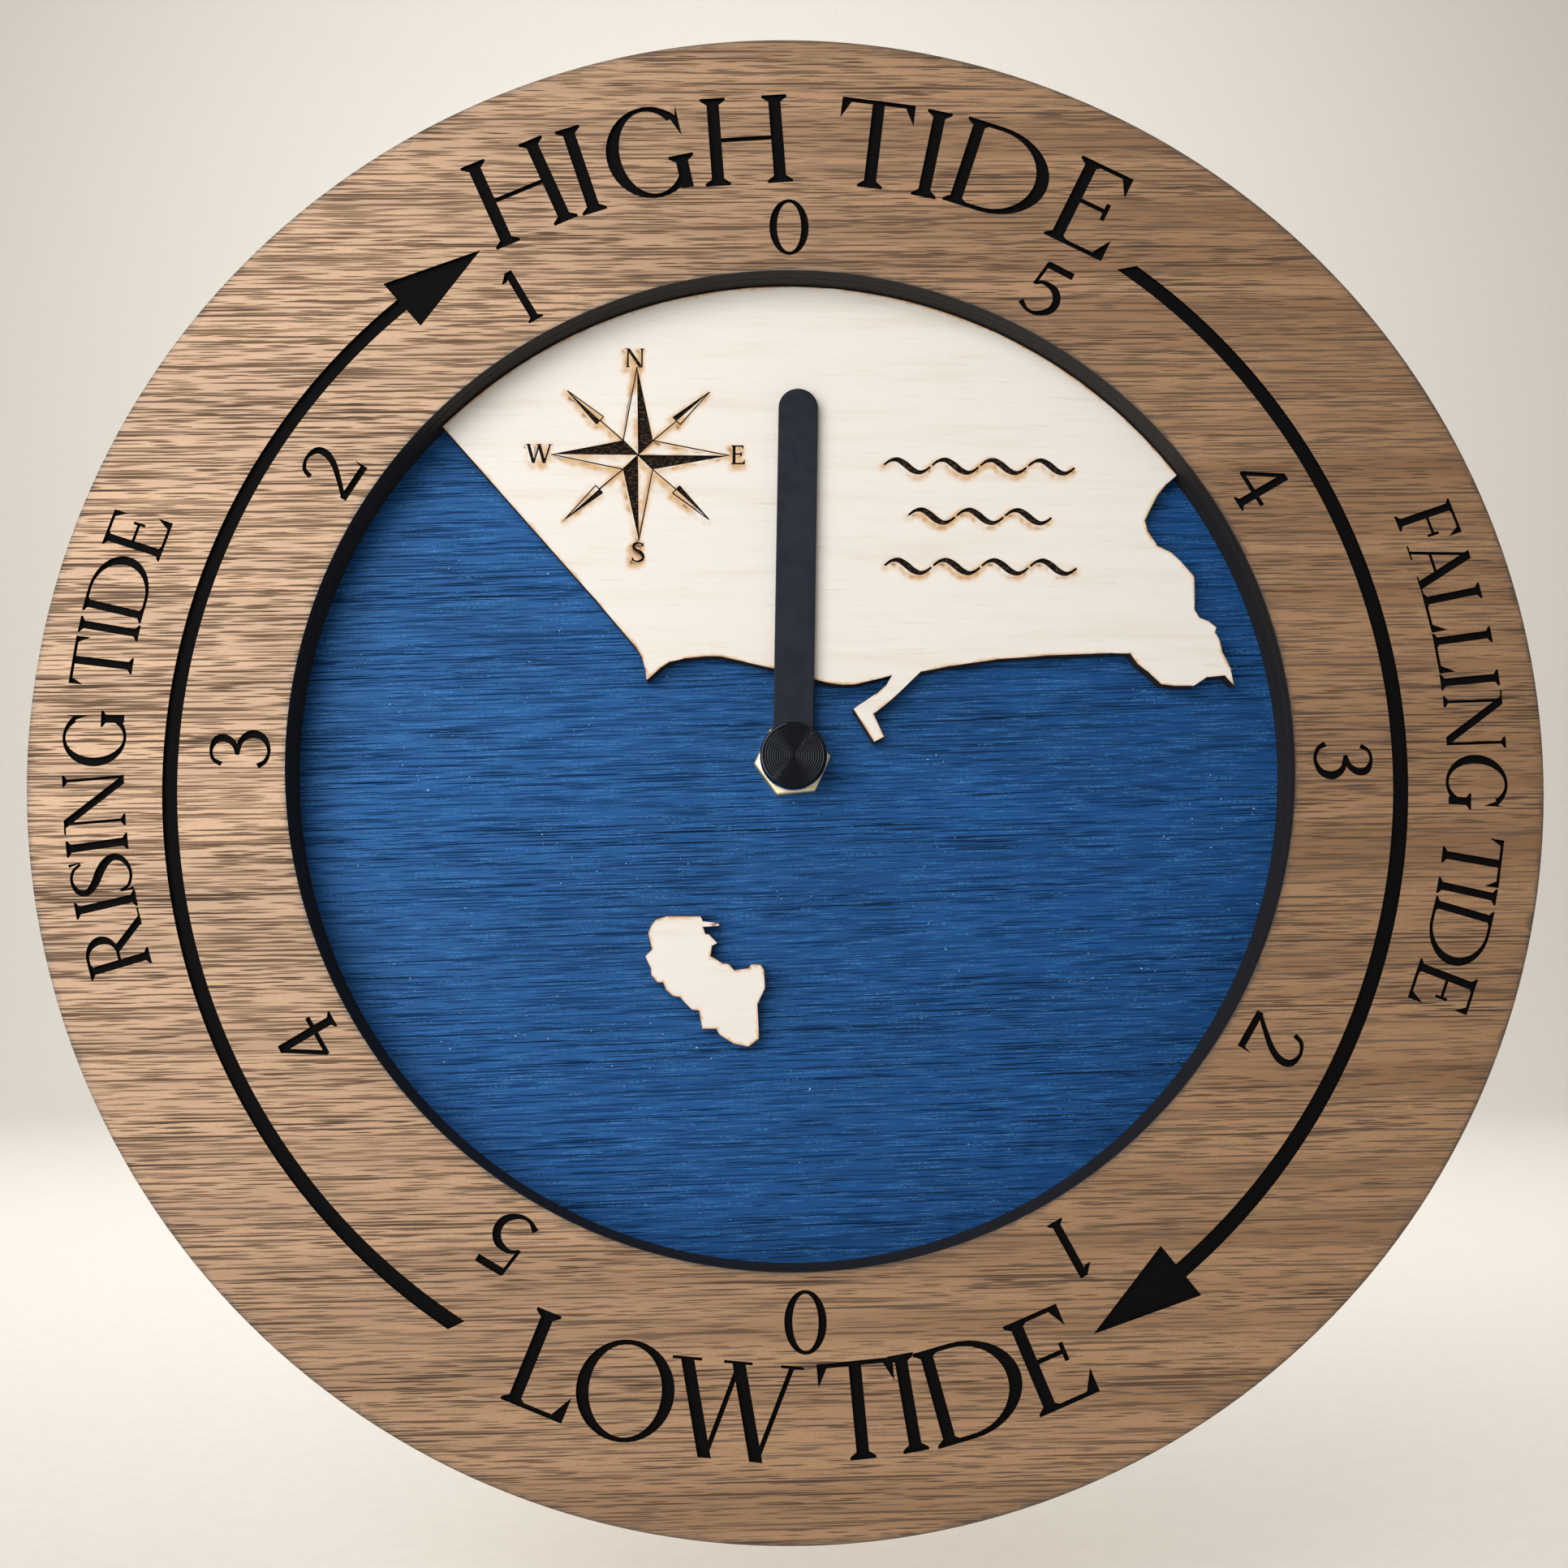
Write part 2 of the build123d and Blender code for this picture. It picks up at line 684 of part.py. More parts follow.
# Train plate on the pillars, with the rear bearings
with BuildPart() as train_plate:
    with BuildSketch(facing(plate_rear)):
        with Locations(*pillars, rotor_axis):
            RegularPolygon(pillar_radius + plate_margin, post_sides)
        make_hull()
        with Locations(*pillars):
            RegularPolygon(pillar_peg_radius + running_gap, post_sides, mode=Mode.SUBTRACT)
        with Locations(third_axis, second_axis, fifth_axis, rotor_axis):
            Circle(pivot_radius + running_gap, mode=Mode.SUBTRACT)
        for axis, radius in ((center_axis, rear_arbor_radius), (set_axis, set_arbor_radius)):
            with Locations(axis):
                RegularPolygon(radius + running_gap, pivot_sides, major_radius=False, mode=Mode.SUBTRACT)
    extrude(amount=plate_thick)
save(train_plate.part, "train_plate")

# Stator: a ring round the magnet with two arms to the coil core
with BuildPart() as stator:
    arm_high = (arm_x, rotor_axis[1] - stator_rim / 2)
    arm_low = (arm_x, lug_low[1])
    with BuildSketch(facing(stator_station)):
        with Locations(rotor_axis):
            RegularPolygon(stator_rim, round_sides)
        with Locations(lug_high, lug_low):
            RegularPolygon(lug_radius, post_sides)
        with Locations(arm_low):
            Rectangle(stator_arm_width, stator_arm_width)
        with BuildLine():
            Polyline(*bar(rotor_axis, lug_high, lug_radius), close=True)
        make_face()
        with BuildLine():
            Polyline(*bar(arm_high, arm_low, stator_arm_width / 2), close=True)
        make_face()
        with BuildLine():
            Polyline(*bar(arm_low, lug_low, stator_arm_width / 2), close=True)
        make_face()
        with Locations(rotor_axis):
            RegularPolygon(stator_hole, round_sides, major_radius=False, mode=Mode.SUBTRACT)
        with Locations(lug_high, lug_low):
            RegularPolygon(peg_radius + running_gap, post_sides, mode=Mode.SUBTRACT)
    extrude(amount=stator_thick)
save(stator.part, "stator")

# Coil core: a flat bar from lug to lug
with BuildPart() as coil_core:
    with BuildSketch(facing(core_station)):
        with Locations(lug_high, lug_low):
            RegularPolygon(lug_radius, post_sides)
        with BuildLine():
            Polyline(*bar(lug_high, lug_low, core_width / 2), close=True)
        make_face()
        with Locations(lug_high, lug_low):
            RegularPolygon(peg_radius + running_gap, post_sides, mode=Mode.SUBTRACT)
    extrude(amount=stator_thick)
save(coil_core.part, "coil_core")

# Bobbin and winding round the core
coil_centre = core_station + stator_thick / 2
coil_plane = Plane(origin=(coil_x, -coil_centre, arbor_height + coil_low), x_dir=(1, 0, 0), z_dir=(0, 0, 1))
with BuildPart() as coil_bobbin:
    with BuildSketch(coil_plane):
        Rectangle(2 * bobbin_barrel_radius, 2 * bobbin_barrel_radius)
    extrude(amount=coil_length)
    with BuildSketch(coil_plane, coil_plane.offset(coil_length - bobbin_flange_thick)):
        Rectangle(2 * bobbin_flange_radius, 2 * bobbin_flange_radius)
    extrude(amount=bobbin_flange_thick)
    with BuildSketch(coil_plane.offset(-overrun)):
        Rectangle(core_width + 2 * core_gap, stator_thick + 2 * core_gap)
    extrude(amount=coil_length + 2 * overrun, mode=Mode.SUBTRACT)
save(coil_bobbin.part, "coil_bobbin")

with BuildPart() as coil_winding:
    with BuildSketch(coil_plane.offset(bobbin_flange_thick)):
        RectangleRounded(2 * winding_radius, 2 * winding_radius, winding_radius - bobbin_barrel_radius)
        Rectangle(2 * bobbin_barrel_radius, 2 * bobbin_barrel_radius, mode=Mode.SUBTRACT)
    extrude(amount=coil_length - 2 * bobbin_flange_thick)
save(coil_winding.part, "coil_winding")

# Circuit board with its chip and crystal
with BuildPart() as circuit_board:
    with BuildSketch(facing(board_station)):
        with Locations((board_x, (board_low + board_high) / 2)):
            Rectangle(board_right - board_left, board_high - board_low)
        with Locations(*board_posts):
            RegularPolygon(peg_radius + running_gap, post_sides, mode=Mode.SUBTRACT)
    extrude(amount=board_thick)
save(circuit_board.part, "circuit_board")

with BuildPart() as chip_blob:
    with BuildSketch(facing(board_station - blob_height)):
        with Locations((board_x, (board_low + board_high) / 2 - blob_radius)):
            RegularPolygon(blob_radius, round_sides)
    extrude(amount=blob_height)
save(chip_blob.part, "chip_blob")

can_low = (board_low + board_high) / 2 + can_gap
can_plane = Plane(
    origin=(board_x, -(board_station - can_radius), arbor_height + can_low), x_dir=(1, 0, 0), z_dir=(0, 0, 1)
)
with BuildPart() as crystal_can:
    with BuildSketch(can_plane):
        RegularPolygon(can_radius, pivot_sides)
    extrude(amount=can_length)
save(crystal_can.part, "crystal_can")

# Cell in its bay, the raised end to the left
bay_middle = (bay_high + bay_low) / 2
with BuildPart() as battery_cell:
    with BuildSketch(sideways(-cell_length / 2 + cell_nub_length, bay_middle, cell_station)):
        Circle(cell_diameter / 2)
    extrude(amount=cell_length - cell_nub_length)
    with BuildSketch(sideways(-cell_length / 2, bay_middle, cell_station)):
        RegularPolygon(cell_nub_radius, round_sides)
    extrude(amount=cell_nub_length)
save(battery_cell.part, "battery_cell")


# Contacts: a blade at each end of the bay, carried through the partition
blade_low = bay_low + cell_gap
blade_rise = board_low + contact_width - chamber_low
pip_length = half_chamber - cell_length / 2 - contact_thick - contact_touch_gap
tab_station = board_station + board_thick


def blade(side):
    """Middle of a blade across the case, on the left or the right."""
    return side * (half_chamber - contact_thick / 2)


with BuildPart() as contact_positive:
    with BuildSketch(facing(cell_station - contact_width / 2)):
        with Locations((blade(-1), (blade_low + chamber_low + blade_rise) / 2)):
            Rectangle(contact_thick, chamber_low + blade_rise - blade_low)
    extrude(amount=contact_width)
    with BuildSketch(sideways(-half_chamber + contact_thick, bay_middle, cell_station)):
        RegularPolygon(contact_pip_radius, post_sides)
    extrude(amount=pip_length)
    with BuildSketch(facing(tab_station)):
        with Locations(((board_x - half_chamber) / 2, chamber_low + blade_rise - strip_width / 2)):
            Rectangle(board_x + half_chamber, strip_width)
    extrude(amount=contact_thick)
save(contact_positive.part, "contact_positive")

with BuildPart() as contact_negative:
    strip_left = board_right - strip_width
    with BuildSketch(facing(cell_station - contact_width / 2)):
        with Locations((blade(1), (blade_low + chamber_low + contact_thick) / 2)):
            Rectangle(contact_thick, chamber_low + contact_thick - blade_low)
    extrude(amount=contact_width)
    with BuildSketch(sideways(half_chamber - contact_thick - pip_length, bay_middle, cell_station)):
        RegularPolygon(contact_pip_radius, post_sides)
    extrude(amount=pip_length)
    with BuildSketch(facing(tab_station + contact_thick - strip_width)):
        with Locations(((half_chamber + strip_left) / 2, chamber_low + contact_thick / 2)):
            Rectangle(half_chamber - strip_left, contact_thick)
    extrude(amount=strip_width)
    with BuildSketch(facing(tab_station)):
        with Locations((strip_left + strip_width / 2, (chamber_low + board_low + strip_width) / 2)):
            Rectangle(strip_width, board_low + strip_width - chamber_low)
    extrude(amount=contact_thick)
save(contact_negative.part, "contact_negative")

# Case front: walls, cell bay, bosses, pillars and posts in one moulding
with BuildPart() as case_front:
    with BuildSketch(facing(0)):
        with Locations((0, case_middle)):
            RectangleRounded(case_width, case_height, case_corner)
    extrude(amount=case_depth)
    with BuildSketch(facing(0)):
        with Locations((0, (bay_high + case_high + overrun) / 2)):
            Rectangle(case_width + overrun, case_high + overrun - bay_high)
    extrude(amount=cover_thick, mode=Mode.SUBTRACT)
    with BuildSketch(facing(0)):
        with Locations((0, (chamber_high + chamber_low) / 2)):
            Rectangle(2 * half_chamber, chamber_high - chamber_low)
        with Locations((0, bay_middle)):
            Rectangle(2 * half_chamber, bay_high - bay_low)
        for end in (-1, 1):
            with Locations((blade(end), (bay_high + chamber_low) / 2)):
                Rectangle(contact_thick, partition_thick)
    extrude(amount=case_inner, mode=Mode.SUBTRACT)
    for end in (-1, 1):
        with BuildSketch(facing(cell_station + contact_width / 2)):
            with Locations((blade(end), (bay_high + chamber_low) / 2)):
                Rectangle(contact_thick, partition_thick)
        extrude(amount=case_inner - cell_station - contact_width / 2)
    pivot_ends = [
        (third_axis, third_station + wheel_thick + layer_pitch + pinion_overhang),
        (second_axis, second_station + wheel_thick + layer_pitch + pinion_overhang),
        (fifth_axis, fifth_station + wheel_thick + layer_pitch + pinion_overhang),
        (rotor_axis, magnet_end),
        (set_axis, set_end),
    ]
    bearing_radius = pivot_radius + running_gap
    for axis, shoulder in pivot_ends:
        with BuildSketch(facing(shoulder + end_gap)):
            with Locations(axis):
                RegularPolygon(boss_radius, post_sides)
                RegularPolygon(bearing_radius, pivot_sides, major_radius=False, mode=Mode.SUBTRACT)
        extrude(amount=case_inner - shoulder - end_gap)
    with BuildSketch(facing(motion_station)):
        with Locations(minute_axis):
            RegularPolygon(post_radius, pivot_sides)
    extrude(amount=case_inner - motion_station)
    with BuildSketch(facing(plate_front)):
        with Locations(*pillars):
            RegularPolygon(pillar_radius, post_sides)
    extrude(amount=case_inner - plate_front)
    with BuildSketch(facing(plate_rear - peg_show)):
        with Locations(*pillars):
            RegularPolygon(pillar_peg_radius, post_sides)
    extrude(amount=plate_thick + peg_show)
    with BuildSketch(facing(core_station + stator_thick)):
        with Locations(lug_high, lug_low):
            RegularPolygon(pillar_radius, post_sides)
    extrude(amount=case_inner - core_station - stator_thick)
    with BuildSketch(facing(stator_station - peg_show)):
        with Locations(lug_high, lug_low):
            RegularPolygon(peg_radius, post_sides)
    extrude(amount=2 * stator_thick + peg_show)
    with BuildSketch(facing(tab_station)):
        with Locations(*board_posts):
            RegularPolygon(pillar_radius, post_sides)
    extrude(amount=case_inner - tab_station)
    with BuildSketch(facing(board_station - peg_show)):
        with Locations(*board_posts):
            RegularPolygon(peg_radius, post_sides)
    extrude(amount=board_thick + peg_show)
    with BuildSketch(facing(case_inner)):
        Circle(bush_radius)
    extrude(amount=case_wall, mode=Mode.SUBTRACT)
save(case_front.part, "case_front")

# Case rear: cover plate with the hanger, the knob's hole and a locating lip
with BuildPart() as case_rear:
    cover_low = bay_high + cover_gap
    lip_width = 2 * (half_chamber - cover_gap)
    lip_tall = chamber_high - chamber_low - 2 * cover_gap
    with BuildSketch(facing(0)):
        with Locations((0, case_middle)):
            RectangleRounded(case_width, case_height, case_corner)
        with Locations((0, (cover_low + case_low - overrun) / 2)):
            Rectangle(case_width + overrun, cover_low - case_low + overrun, mode=Mode.SUBTRACT)
    extrude(amount=cover_thick)
    with BuildSketch(facing(cover_thick)):
        with Locations((0, (chamber_high + chamber_low) / 2)):
            Rectangle(lip_width, lip_tall)
            Rectangle(lip_width - 2 * lip_thick, lip_tall - 2 * lip_thick, mode=Mode.SUBTRACT)
    extrude(amount=lip_height)
    with BuildSketch(facing(0)):
        with Locations((0, case_high + hanger_rise)):
            Circle(hanger_radius)
        with Locations((0, case_high + hanger_rise / 2)):
            Rectangle(2 * hanger_radius, hanger_rise)
    extrude(amount=hanger_thick)
    with BuildSketch(facing(-overrun)):
        with Locations((0, case_high + hanger_rise)):
            Circle(eye_radius)
        with Locations(set_axis):
            Circle(knob_radius + knob_gap)
    extrude(amount=hanger_thick + 2 * overrun, mode=Mode.SUBTRACT)
save(case_rear.part, "case_rear")
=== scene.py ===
"""Looks of a wall-hung tide clock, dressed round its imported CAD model.

Everything is in metres in the row frame: X to the right, Y into the wall and
Z up. Drawing on the dial is laid out in millimetres, as (across, up) from the
centre arbor, and angles on the dial run clockwise in degrees from the top.
"""
import logging
import math
from dataclasses import dataclass, field
from enum import Enum
from typing import Any, Callable, Sequence

import bmesh
import bpy
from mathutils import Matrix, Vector
from mathutils.geometry import delaunay_2d_cdt
from mathutils.kdtree import KDTree


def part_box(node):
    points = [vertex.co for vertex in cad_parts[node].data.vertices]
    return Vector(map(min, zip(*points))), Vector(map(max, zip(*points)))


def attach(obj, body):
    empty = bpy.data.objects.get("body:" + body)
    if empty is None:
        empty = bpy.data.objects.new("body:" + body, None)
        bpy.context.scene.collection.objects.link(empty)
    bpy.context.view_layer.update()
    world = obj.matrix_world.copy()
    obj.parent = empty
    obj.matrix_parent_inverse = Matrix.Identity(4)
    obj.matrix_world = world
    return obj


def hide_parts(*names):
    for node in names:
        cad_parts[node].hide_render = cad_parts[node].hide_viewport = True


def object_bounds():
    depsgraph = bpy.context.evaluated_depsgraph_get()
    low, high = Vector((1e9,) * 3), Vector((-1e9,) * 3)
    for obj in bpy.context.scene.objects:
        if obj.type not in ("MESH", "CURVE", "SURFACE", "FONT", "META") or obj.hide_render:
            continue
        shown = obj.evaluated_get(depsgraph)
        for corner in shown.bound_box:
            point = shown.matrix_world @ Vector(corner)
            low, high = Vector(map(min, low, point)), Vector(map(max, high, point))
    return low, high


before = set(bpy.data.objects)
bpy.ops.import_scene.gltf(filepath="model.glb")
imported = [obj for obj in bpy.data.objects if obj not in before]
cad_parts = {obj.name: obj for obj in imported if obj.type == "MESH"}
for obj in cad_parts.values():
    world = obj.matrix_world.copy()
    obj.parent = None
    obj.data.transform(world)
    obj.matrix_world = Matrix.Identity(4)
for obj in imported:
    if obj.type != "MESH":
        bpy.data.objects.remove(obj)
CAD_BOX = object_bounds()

LOG = logging.getLogger("tide_clock")
MM = 0.001

Point = tuple[float, float]
Point3 = tuple[float, float, float]
Outline = list[Point]


def linear(code: str) -> tuple[float, float, float, float]:
    """Turn an sRGB hex value into a linear colour.

    Args:
        code: Colour such as "#1a4c8e".

    Returns:
        Linear red, green, blue and an alpha of one.
    """
    shares = [int(code[i:i + 2], 16) / 255 for i in (1, 3, 5)]
    low = [share / 12.92 for share in shares]
    high = [((share + 0.055) / 1.055) ** 2.4 for share in shares]
    red, green, blue = [a if s <= 0.04045 else b for s, a, b in zip(shares, low, high)]
    return red, green, blue, 1.0


def add_node(
    tree: bpy.types.NodeTree,
    kind: str,
    settings: dict[str | int, Any] | None = None,
    links: dict[str | int, bpy.types.NodeSocket] | None = None,
) -> bpy.types.Node:
    """Add a node with its settings and links.

    Args:
        tree: Tree that takes the node.
        kind: Blender's name of the node type.
        settings: Values by the name or number of an input, or by a property's name.
        links: Output sockets by the name or number of the input they feed.

    Returns:
        The new node.
    """
    node = tree.nodes.new(kind)
    for name, value in (settings or {}).items():
        if isinstance(name, str) and name not in node.inputs:
            setattr(node, name, value)
        else:
            node.inputs[name].default_value = value
    for name, socket in (links or {}).items():
        tree.links.new(socket, node.inputs[name])
    return node


class Slot(Enum):
    """Names of the material slots of the replaced pieces; add_piece takes one but does not read it."""

    STAINED_PLY = "stained_ply"
    BLACK_PLY = "black_ply"
    BLUE_PLY = "blue_ply"
    WHITE_PLY = "white_ply"
    BLACK_ALUMINIUM = "black_aluminium"
    BRASS = "brass"
    BLACK_ABS = "black_abs"
    COPPER_WIRE = "copper_wire"
    EPOXY = "epoxy"
    CELL_JACKET = "cell_jacket"


class Body(Enum):
    """CAD bodies that carry replaced pieces."""

    DIAL = "dial"
    HAND = "hand"
    CENTER = "center"
    SETTING = "setting"
    CELL = "cell"


@dataclass(frozen=True)
class Finish:
    """A surface finish that draws itself as a procedural material."""

    name: str

    def material(self) -> bpy.types.Material:
        """Give the finish's material, drawn the first time it is asked for."""
        made = bpy.data.materials.get(self.name)
        if made is None:
            made = bpy.data.materials.new(self.name)
            made.use_nodes = True
            tree = made.node_tree
            tree.nodes.clear()
            shader = add_node(tree, "ShaderNodeBsdfPrincipled")
            add_node(tree, "ShaderNodeOutputMaterial", links={"Surface": shader.outputs["BSDF"]})
            self.draw(tree, shader)
        return made

    def draw(self, tree: bpy.types.NodeTree, shader: bpy.types.Node) -> None:
        """Draw the finish's pattern into a material's tree.

        Args:
            tree: The material's tree.
            shader: Its principled shader.
        """
        raise NotImplementedError

    def streaks(
        self, tree: bpy.types.NodeTree, size: Point3, detail: float = 3.0, wander: float = 0.0, slope: float = 0.0
    ) -> bpy.types.NodeSocket:
        """Add noise drawn out to a cell size, in Object coordinates.

        Args:
            tree: The material's tree.
            size: Length of a cell along X, Y and Z, in millimetres.
            detail: Octaves of the noise.
            wander: How far the cells are pulled about, in cells.
            slope: How steeply the cells rise to the right, in degrees.

        Returns:
            The noise's value.
        """
        places = add_node(tree, "ShaderNodeTexCoord")
        mapped = add_node(
            tree, "ShaderNodeMapping",
            {"vector_type": "TEXTURE", "Scale": Vector(size) * MM, "Rotation": (0.0, -math.radians(slope), 0.0)},
            {"Vector": places.outputs["Object"]},
        )
        noise = add_node(
            tree, "ShaderNodeTexNoise", {"Scale": 1.0, "Detail": detail, "Roughness": 0.6, "Distortion": wander},
            {"Vector": mapped.outputs["Vector"]},
        )
        return noise.outputs["Fac"]

    def dashes(self, tree: bpy.types.NodeTree, room: Point, slope: float = 0.0) -> bpy.types.NodeSocket:
        """Add separate dashes that taper to both ends, in the plane of X and Z of Object coordinates.

        Args:
            tree: The material's tree.
            room: Length and height of the room of one dash, in millimetres; it fills a third of each.
            slope: How steeply the dashes rise to the right, in degrees.

        Returns:
            Zero between the dashes, up to one in the middle of a strong dash.
        """
        places = add_node(tree, "ShaderNodeTexCoord")
        mapped = add_node(
            tree, "ShaderNodeMapping",
            {"vector_type": "TEXTURE", "Scale": Vector((*room, 1.0)) * MM,
             "Rotation": (math.radians(90), -math.radians(slope), 0.0)},
            {"Vector": places.outputs["Object"]},
        )
        cells = add_node(
            tree, "ShaderNodeTexVoronoi", {"voronoi_dimensions": "2D", "Scale": 1.0},
            {"Vector": mapped.outputs["Vector"]},
        )
        depth = add_node(
            tree, "ShaderNodeMapRange", {"From Min": 0.3, "From Max": 0.6, "To Min": 0.55, "To Max": 1.0},
            {"Value": cells.outputs["Color"]},
        )
        body = self.step(tree, cells.outputs["Distance"], 0.23, 0.11)
        return add_node(
            tree, "ShaderNodeMath", {"operation": "MULTIPLY"}, {0: body, 1: depth.outputs["Result"]}
        ).outputs[0]

    def layered(self, tree: bpy.types.NodeTree, rooms: Sequence[Point], slope: float) -> bpy.types.NodeSocket:
        """Add several layers of dashes.

        Args:
            tree: The material's tree.
            rooms: Length and height of the room of one dash in each layer, in millimetres.
            slope: How steeply the dashes rise to the right, in degrees.

        Returns:
            The strongest of the layers.
        """
        strongest = self.dashes(tree, rooms[0], slope)
        for room in rooms[1:]:
            strongest = add_node(
                tree, "ShaderNodeMath", {"operation": "MAXIMUM"},
                {0: strongest, 1: self.dashes(tree, room, slope)},
            ).outputs[0]
        return strongest

    def step(self, tree: bpy.types.NodeTree, value: bpy.types.NodeSocket, low: float, high: float) -> bpy.types.NodeSocket:
        """Add a soft step of a value.

        Args:
            tree: The material's tree.
            value: The value to map.
            low: Where the step gives zero, which may be above where it gives one.
            high: Where the step gives one.

        Returns:
            The step, between zero and one.
        """
        node = add_node(
            tree, "ShaderNodeMapRange",
            {"interpolation_type": "SMOOTHSTEP", "From Min": low, "From Max": high}, {"Value": value},
        )
        return node.outputs["Result"]

    def roughen(
        self, tree: bpy.types.NodeTree, shader: bpy.types.Node, share: bpy.types.NodeSocket, low: float, high: float
    ) -> None:
        """Drive a shader's roughness.

        Args:
            tree: The material's nodes.
            shader: The material's shader.
            share: Value from 0 to 1.
            low: Roughness where the value is 0.
            high: Roughness where the value is 1.
        """
        spread = add_node(tree, "ShaderNodeMapRange", {"To Min": low, "To Max": high}, {"Value": share})
        tree.links.new(spread.outputs["Result"], shader.inputs["Roughness"])

    def tint(
        self,
        tree: bpy.types.NodeTree,
        amount: bpy.types.NodeSocket,
        below: bpy.types.NodeSocket | str,
        above: bpy.types.NodeSocket | str,
    ) -> bpy.types.NodeSocket:
        """Add a mix of two colours.

        Args:
            tree: The material's tree.
            amount: Share of the second colour.
            below: First colour, as a socket or hex value.
            above: Second colour, as a socket or hex value.

        Returns:
            The mixed colour.
        """
        settings: dict[str | int, Any] = {"data_type": "RGBA"}
        links: dict[str | int, bpy.types.NodeSocket] = {0: amount}
        for place, colour in ((6, below), (7, above)):
            if isinstance(colour, str):
                settings[place] = linear(colour)
            else:
                links[place] = colour
        return add_node(tree, "ShaderNodeMix", settings, links).outputs[2]


@dataclass(frozen=True)
class StainedPly(Finish):
    """Open-grained plywood face under a honey stain: close dark pores run along X, and heat browns it at cuts."""

    light: str = "#a17a55"
    deep: str = "#7d5733"
    pore: str = "#220a02"
    burnt: str = "#140c07"
    sheen: str = "#ffe6ce"
    slope: float = 0.9
    pore_rooms: tuple[Point, ...] = ((90, 0.86), (52, 0.76), (30, 0.66), (18, 0.58), (11, 0.50))
    smooth: float = 0.41
    open_rough: float = 0.95

    def draw(self, tree: bpy.types.NodeTree, shader: bpy.types.Node) -> None:
        """Draw the bands, the speckle, the pores from long to short and the heat marks."""
        bands = self.streaks(tree, (150, 9, 4), 2.0, 0.0, self.slope)
        speckle = self.streaks(tree, (0.7, 0.7, 0.3), 2.0)
        # Pores are about 0.2 mm wide and drawn near 0.3 mm, so that they still show
        pores = self.layered(tree, self.pore_rooms, self.slope)
        patches = self.streaks(tree, (110, 9, 3.5), 2.0, 0.0, self.slope)
        colour = self.tint(tree, self.step(tree, bands, 0.35, 0.68), self.light, self.deep)
        colour = self.tint(tree, self.step(tree, speckle, 0.40, 0.95), colour, self.deep)
        strength = add_node(
            tree, "ShaderNodeMapRange", {"From Min": 0.35, "From Max": 0.6, "To Min": 0.7, "To Max": 1.0},
            {"Value": patches},
        ).outputs["Result"]
        open_pores = add_node(tree, "ShaderNodeMath", {"operation": "MULTIPLY"}, {0: pores, 1: strength}).outputs[0]
        colour = self.tint(tree, open_pores, colour, self.pore)
        heat = add_node(tree, "ShaderNodeAttribute", {"attribute_name": "scorch"}).outputs["Fac"]
        colour = self.tint(tree, heat, colour, self.burnt)
        tree.links.new(colour, shader.inputs["Base Color"])
        self.roughen(tree, shader, open_pores, self.smooth, self.open_rough)
        shader.inputs["IOR"].default_value = 1.8
        shader.inputs["Specular IOR Level"].default_value = 1.0
        shader.inputs["Specular Tint"].default_value = linear(self.sheen)
        bump = add_node(
            tree, "ShaderNodeBump", {"Strength": 0.4, "Distance": 0.12 * MM, "invert": True},
            {"Height": open_pores},
        )
        tree.links.new(bump.outputs["Normal"], shader.inputs["Normal"])


@dataclass(frozen=True)
class WhiteWash(Finish):
    """Birch plywood under a thin white wash: faint grain shows through, and cut edges are scorched tan."""

    wash: str = "#e8e2da"
    grain: str = "#d9d0c3"
    tan: str = "#cfa87a"
    burnt: str = "#5a3417"

    def draw(self, tree: bpy.types.NodeTree, shader: bpy.types.Node) -> None:
        """Draw the wash, the grain and the heat marks."""
        bands = self.streaks(tree, (40, 6, 3), 3.0)
        fibres = self.streaks(tree, (8, 2, 0.4), 3.0)
        smoke = self.streaks(tree, (5, 5, 5), 3.0)
        colour = self.tint(tree, self.step(tree, bands, 0.45, 0.95), self.wash, self.grain)
        colour = self.tint(tree, self.step(tree, fibres, 0.58, 0.8), colour, self.grain)
        heat = add_node(tree, "ShaderNodeAttribute", {"attribute_name": "scorch"}).outputs["Fac"]
        uneven = add_node(
            tree, "ShaderNodeMath", {"operation": "MULTIPLY"},
            {0: heat, 1: self.step(tree, smoke, 0.15, 0.75)},
        ).outputs[0]
        colour = self.tint(tree, self.step(tree, uneven, 0.02, 0.60), colour, self.tan)
        colour = self.tint(tree, self.step(tree, heat, 0.70, 1.0), colour, self.burnt)
        tree.links.new(colour, shader.inputs["Base Color"])
        shader.inputs["Roughness"].default_value = 0.6
        shader.inputs["IOR"].default_value = 1.5
        bump = add_node(tree, "ShaderNodeBump", {"Strength": 0.25, "Distance": 0.08 * MM}, {"Height": fibres})
        tree.links.new(bump.outputs["Normal"], shader.inputs["Normal"])


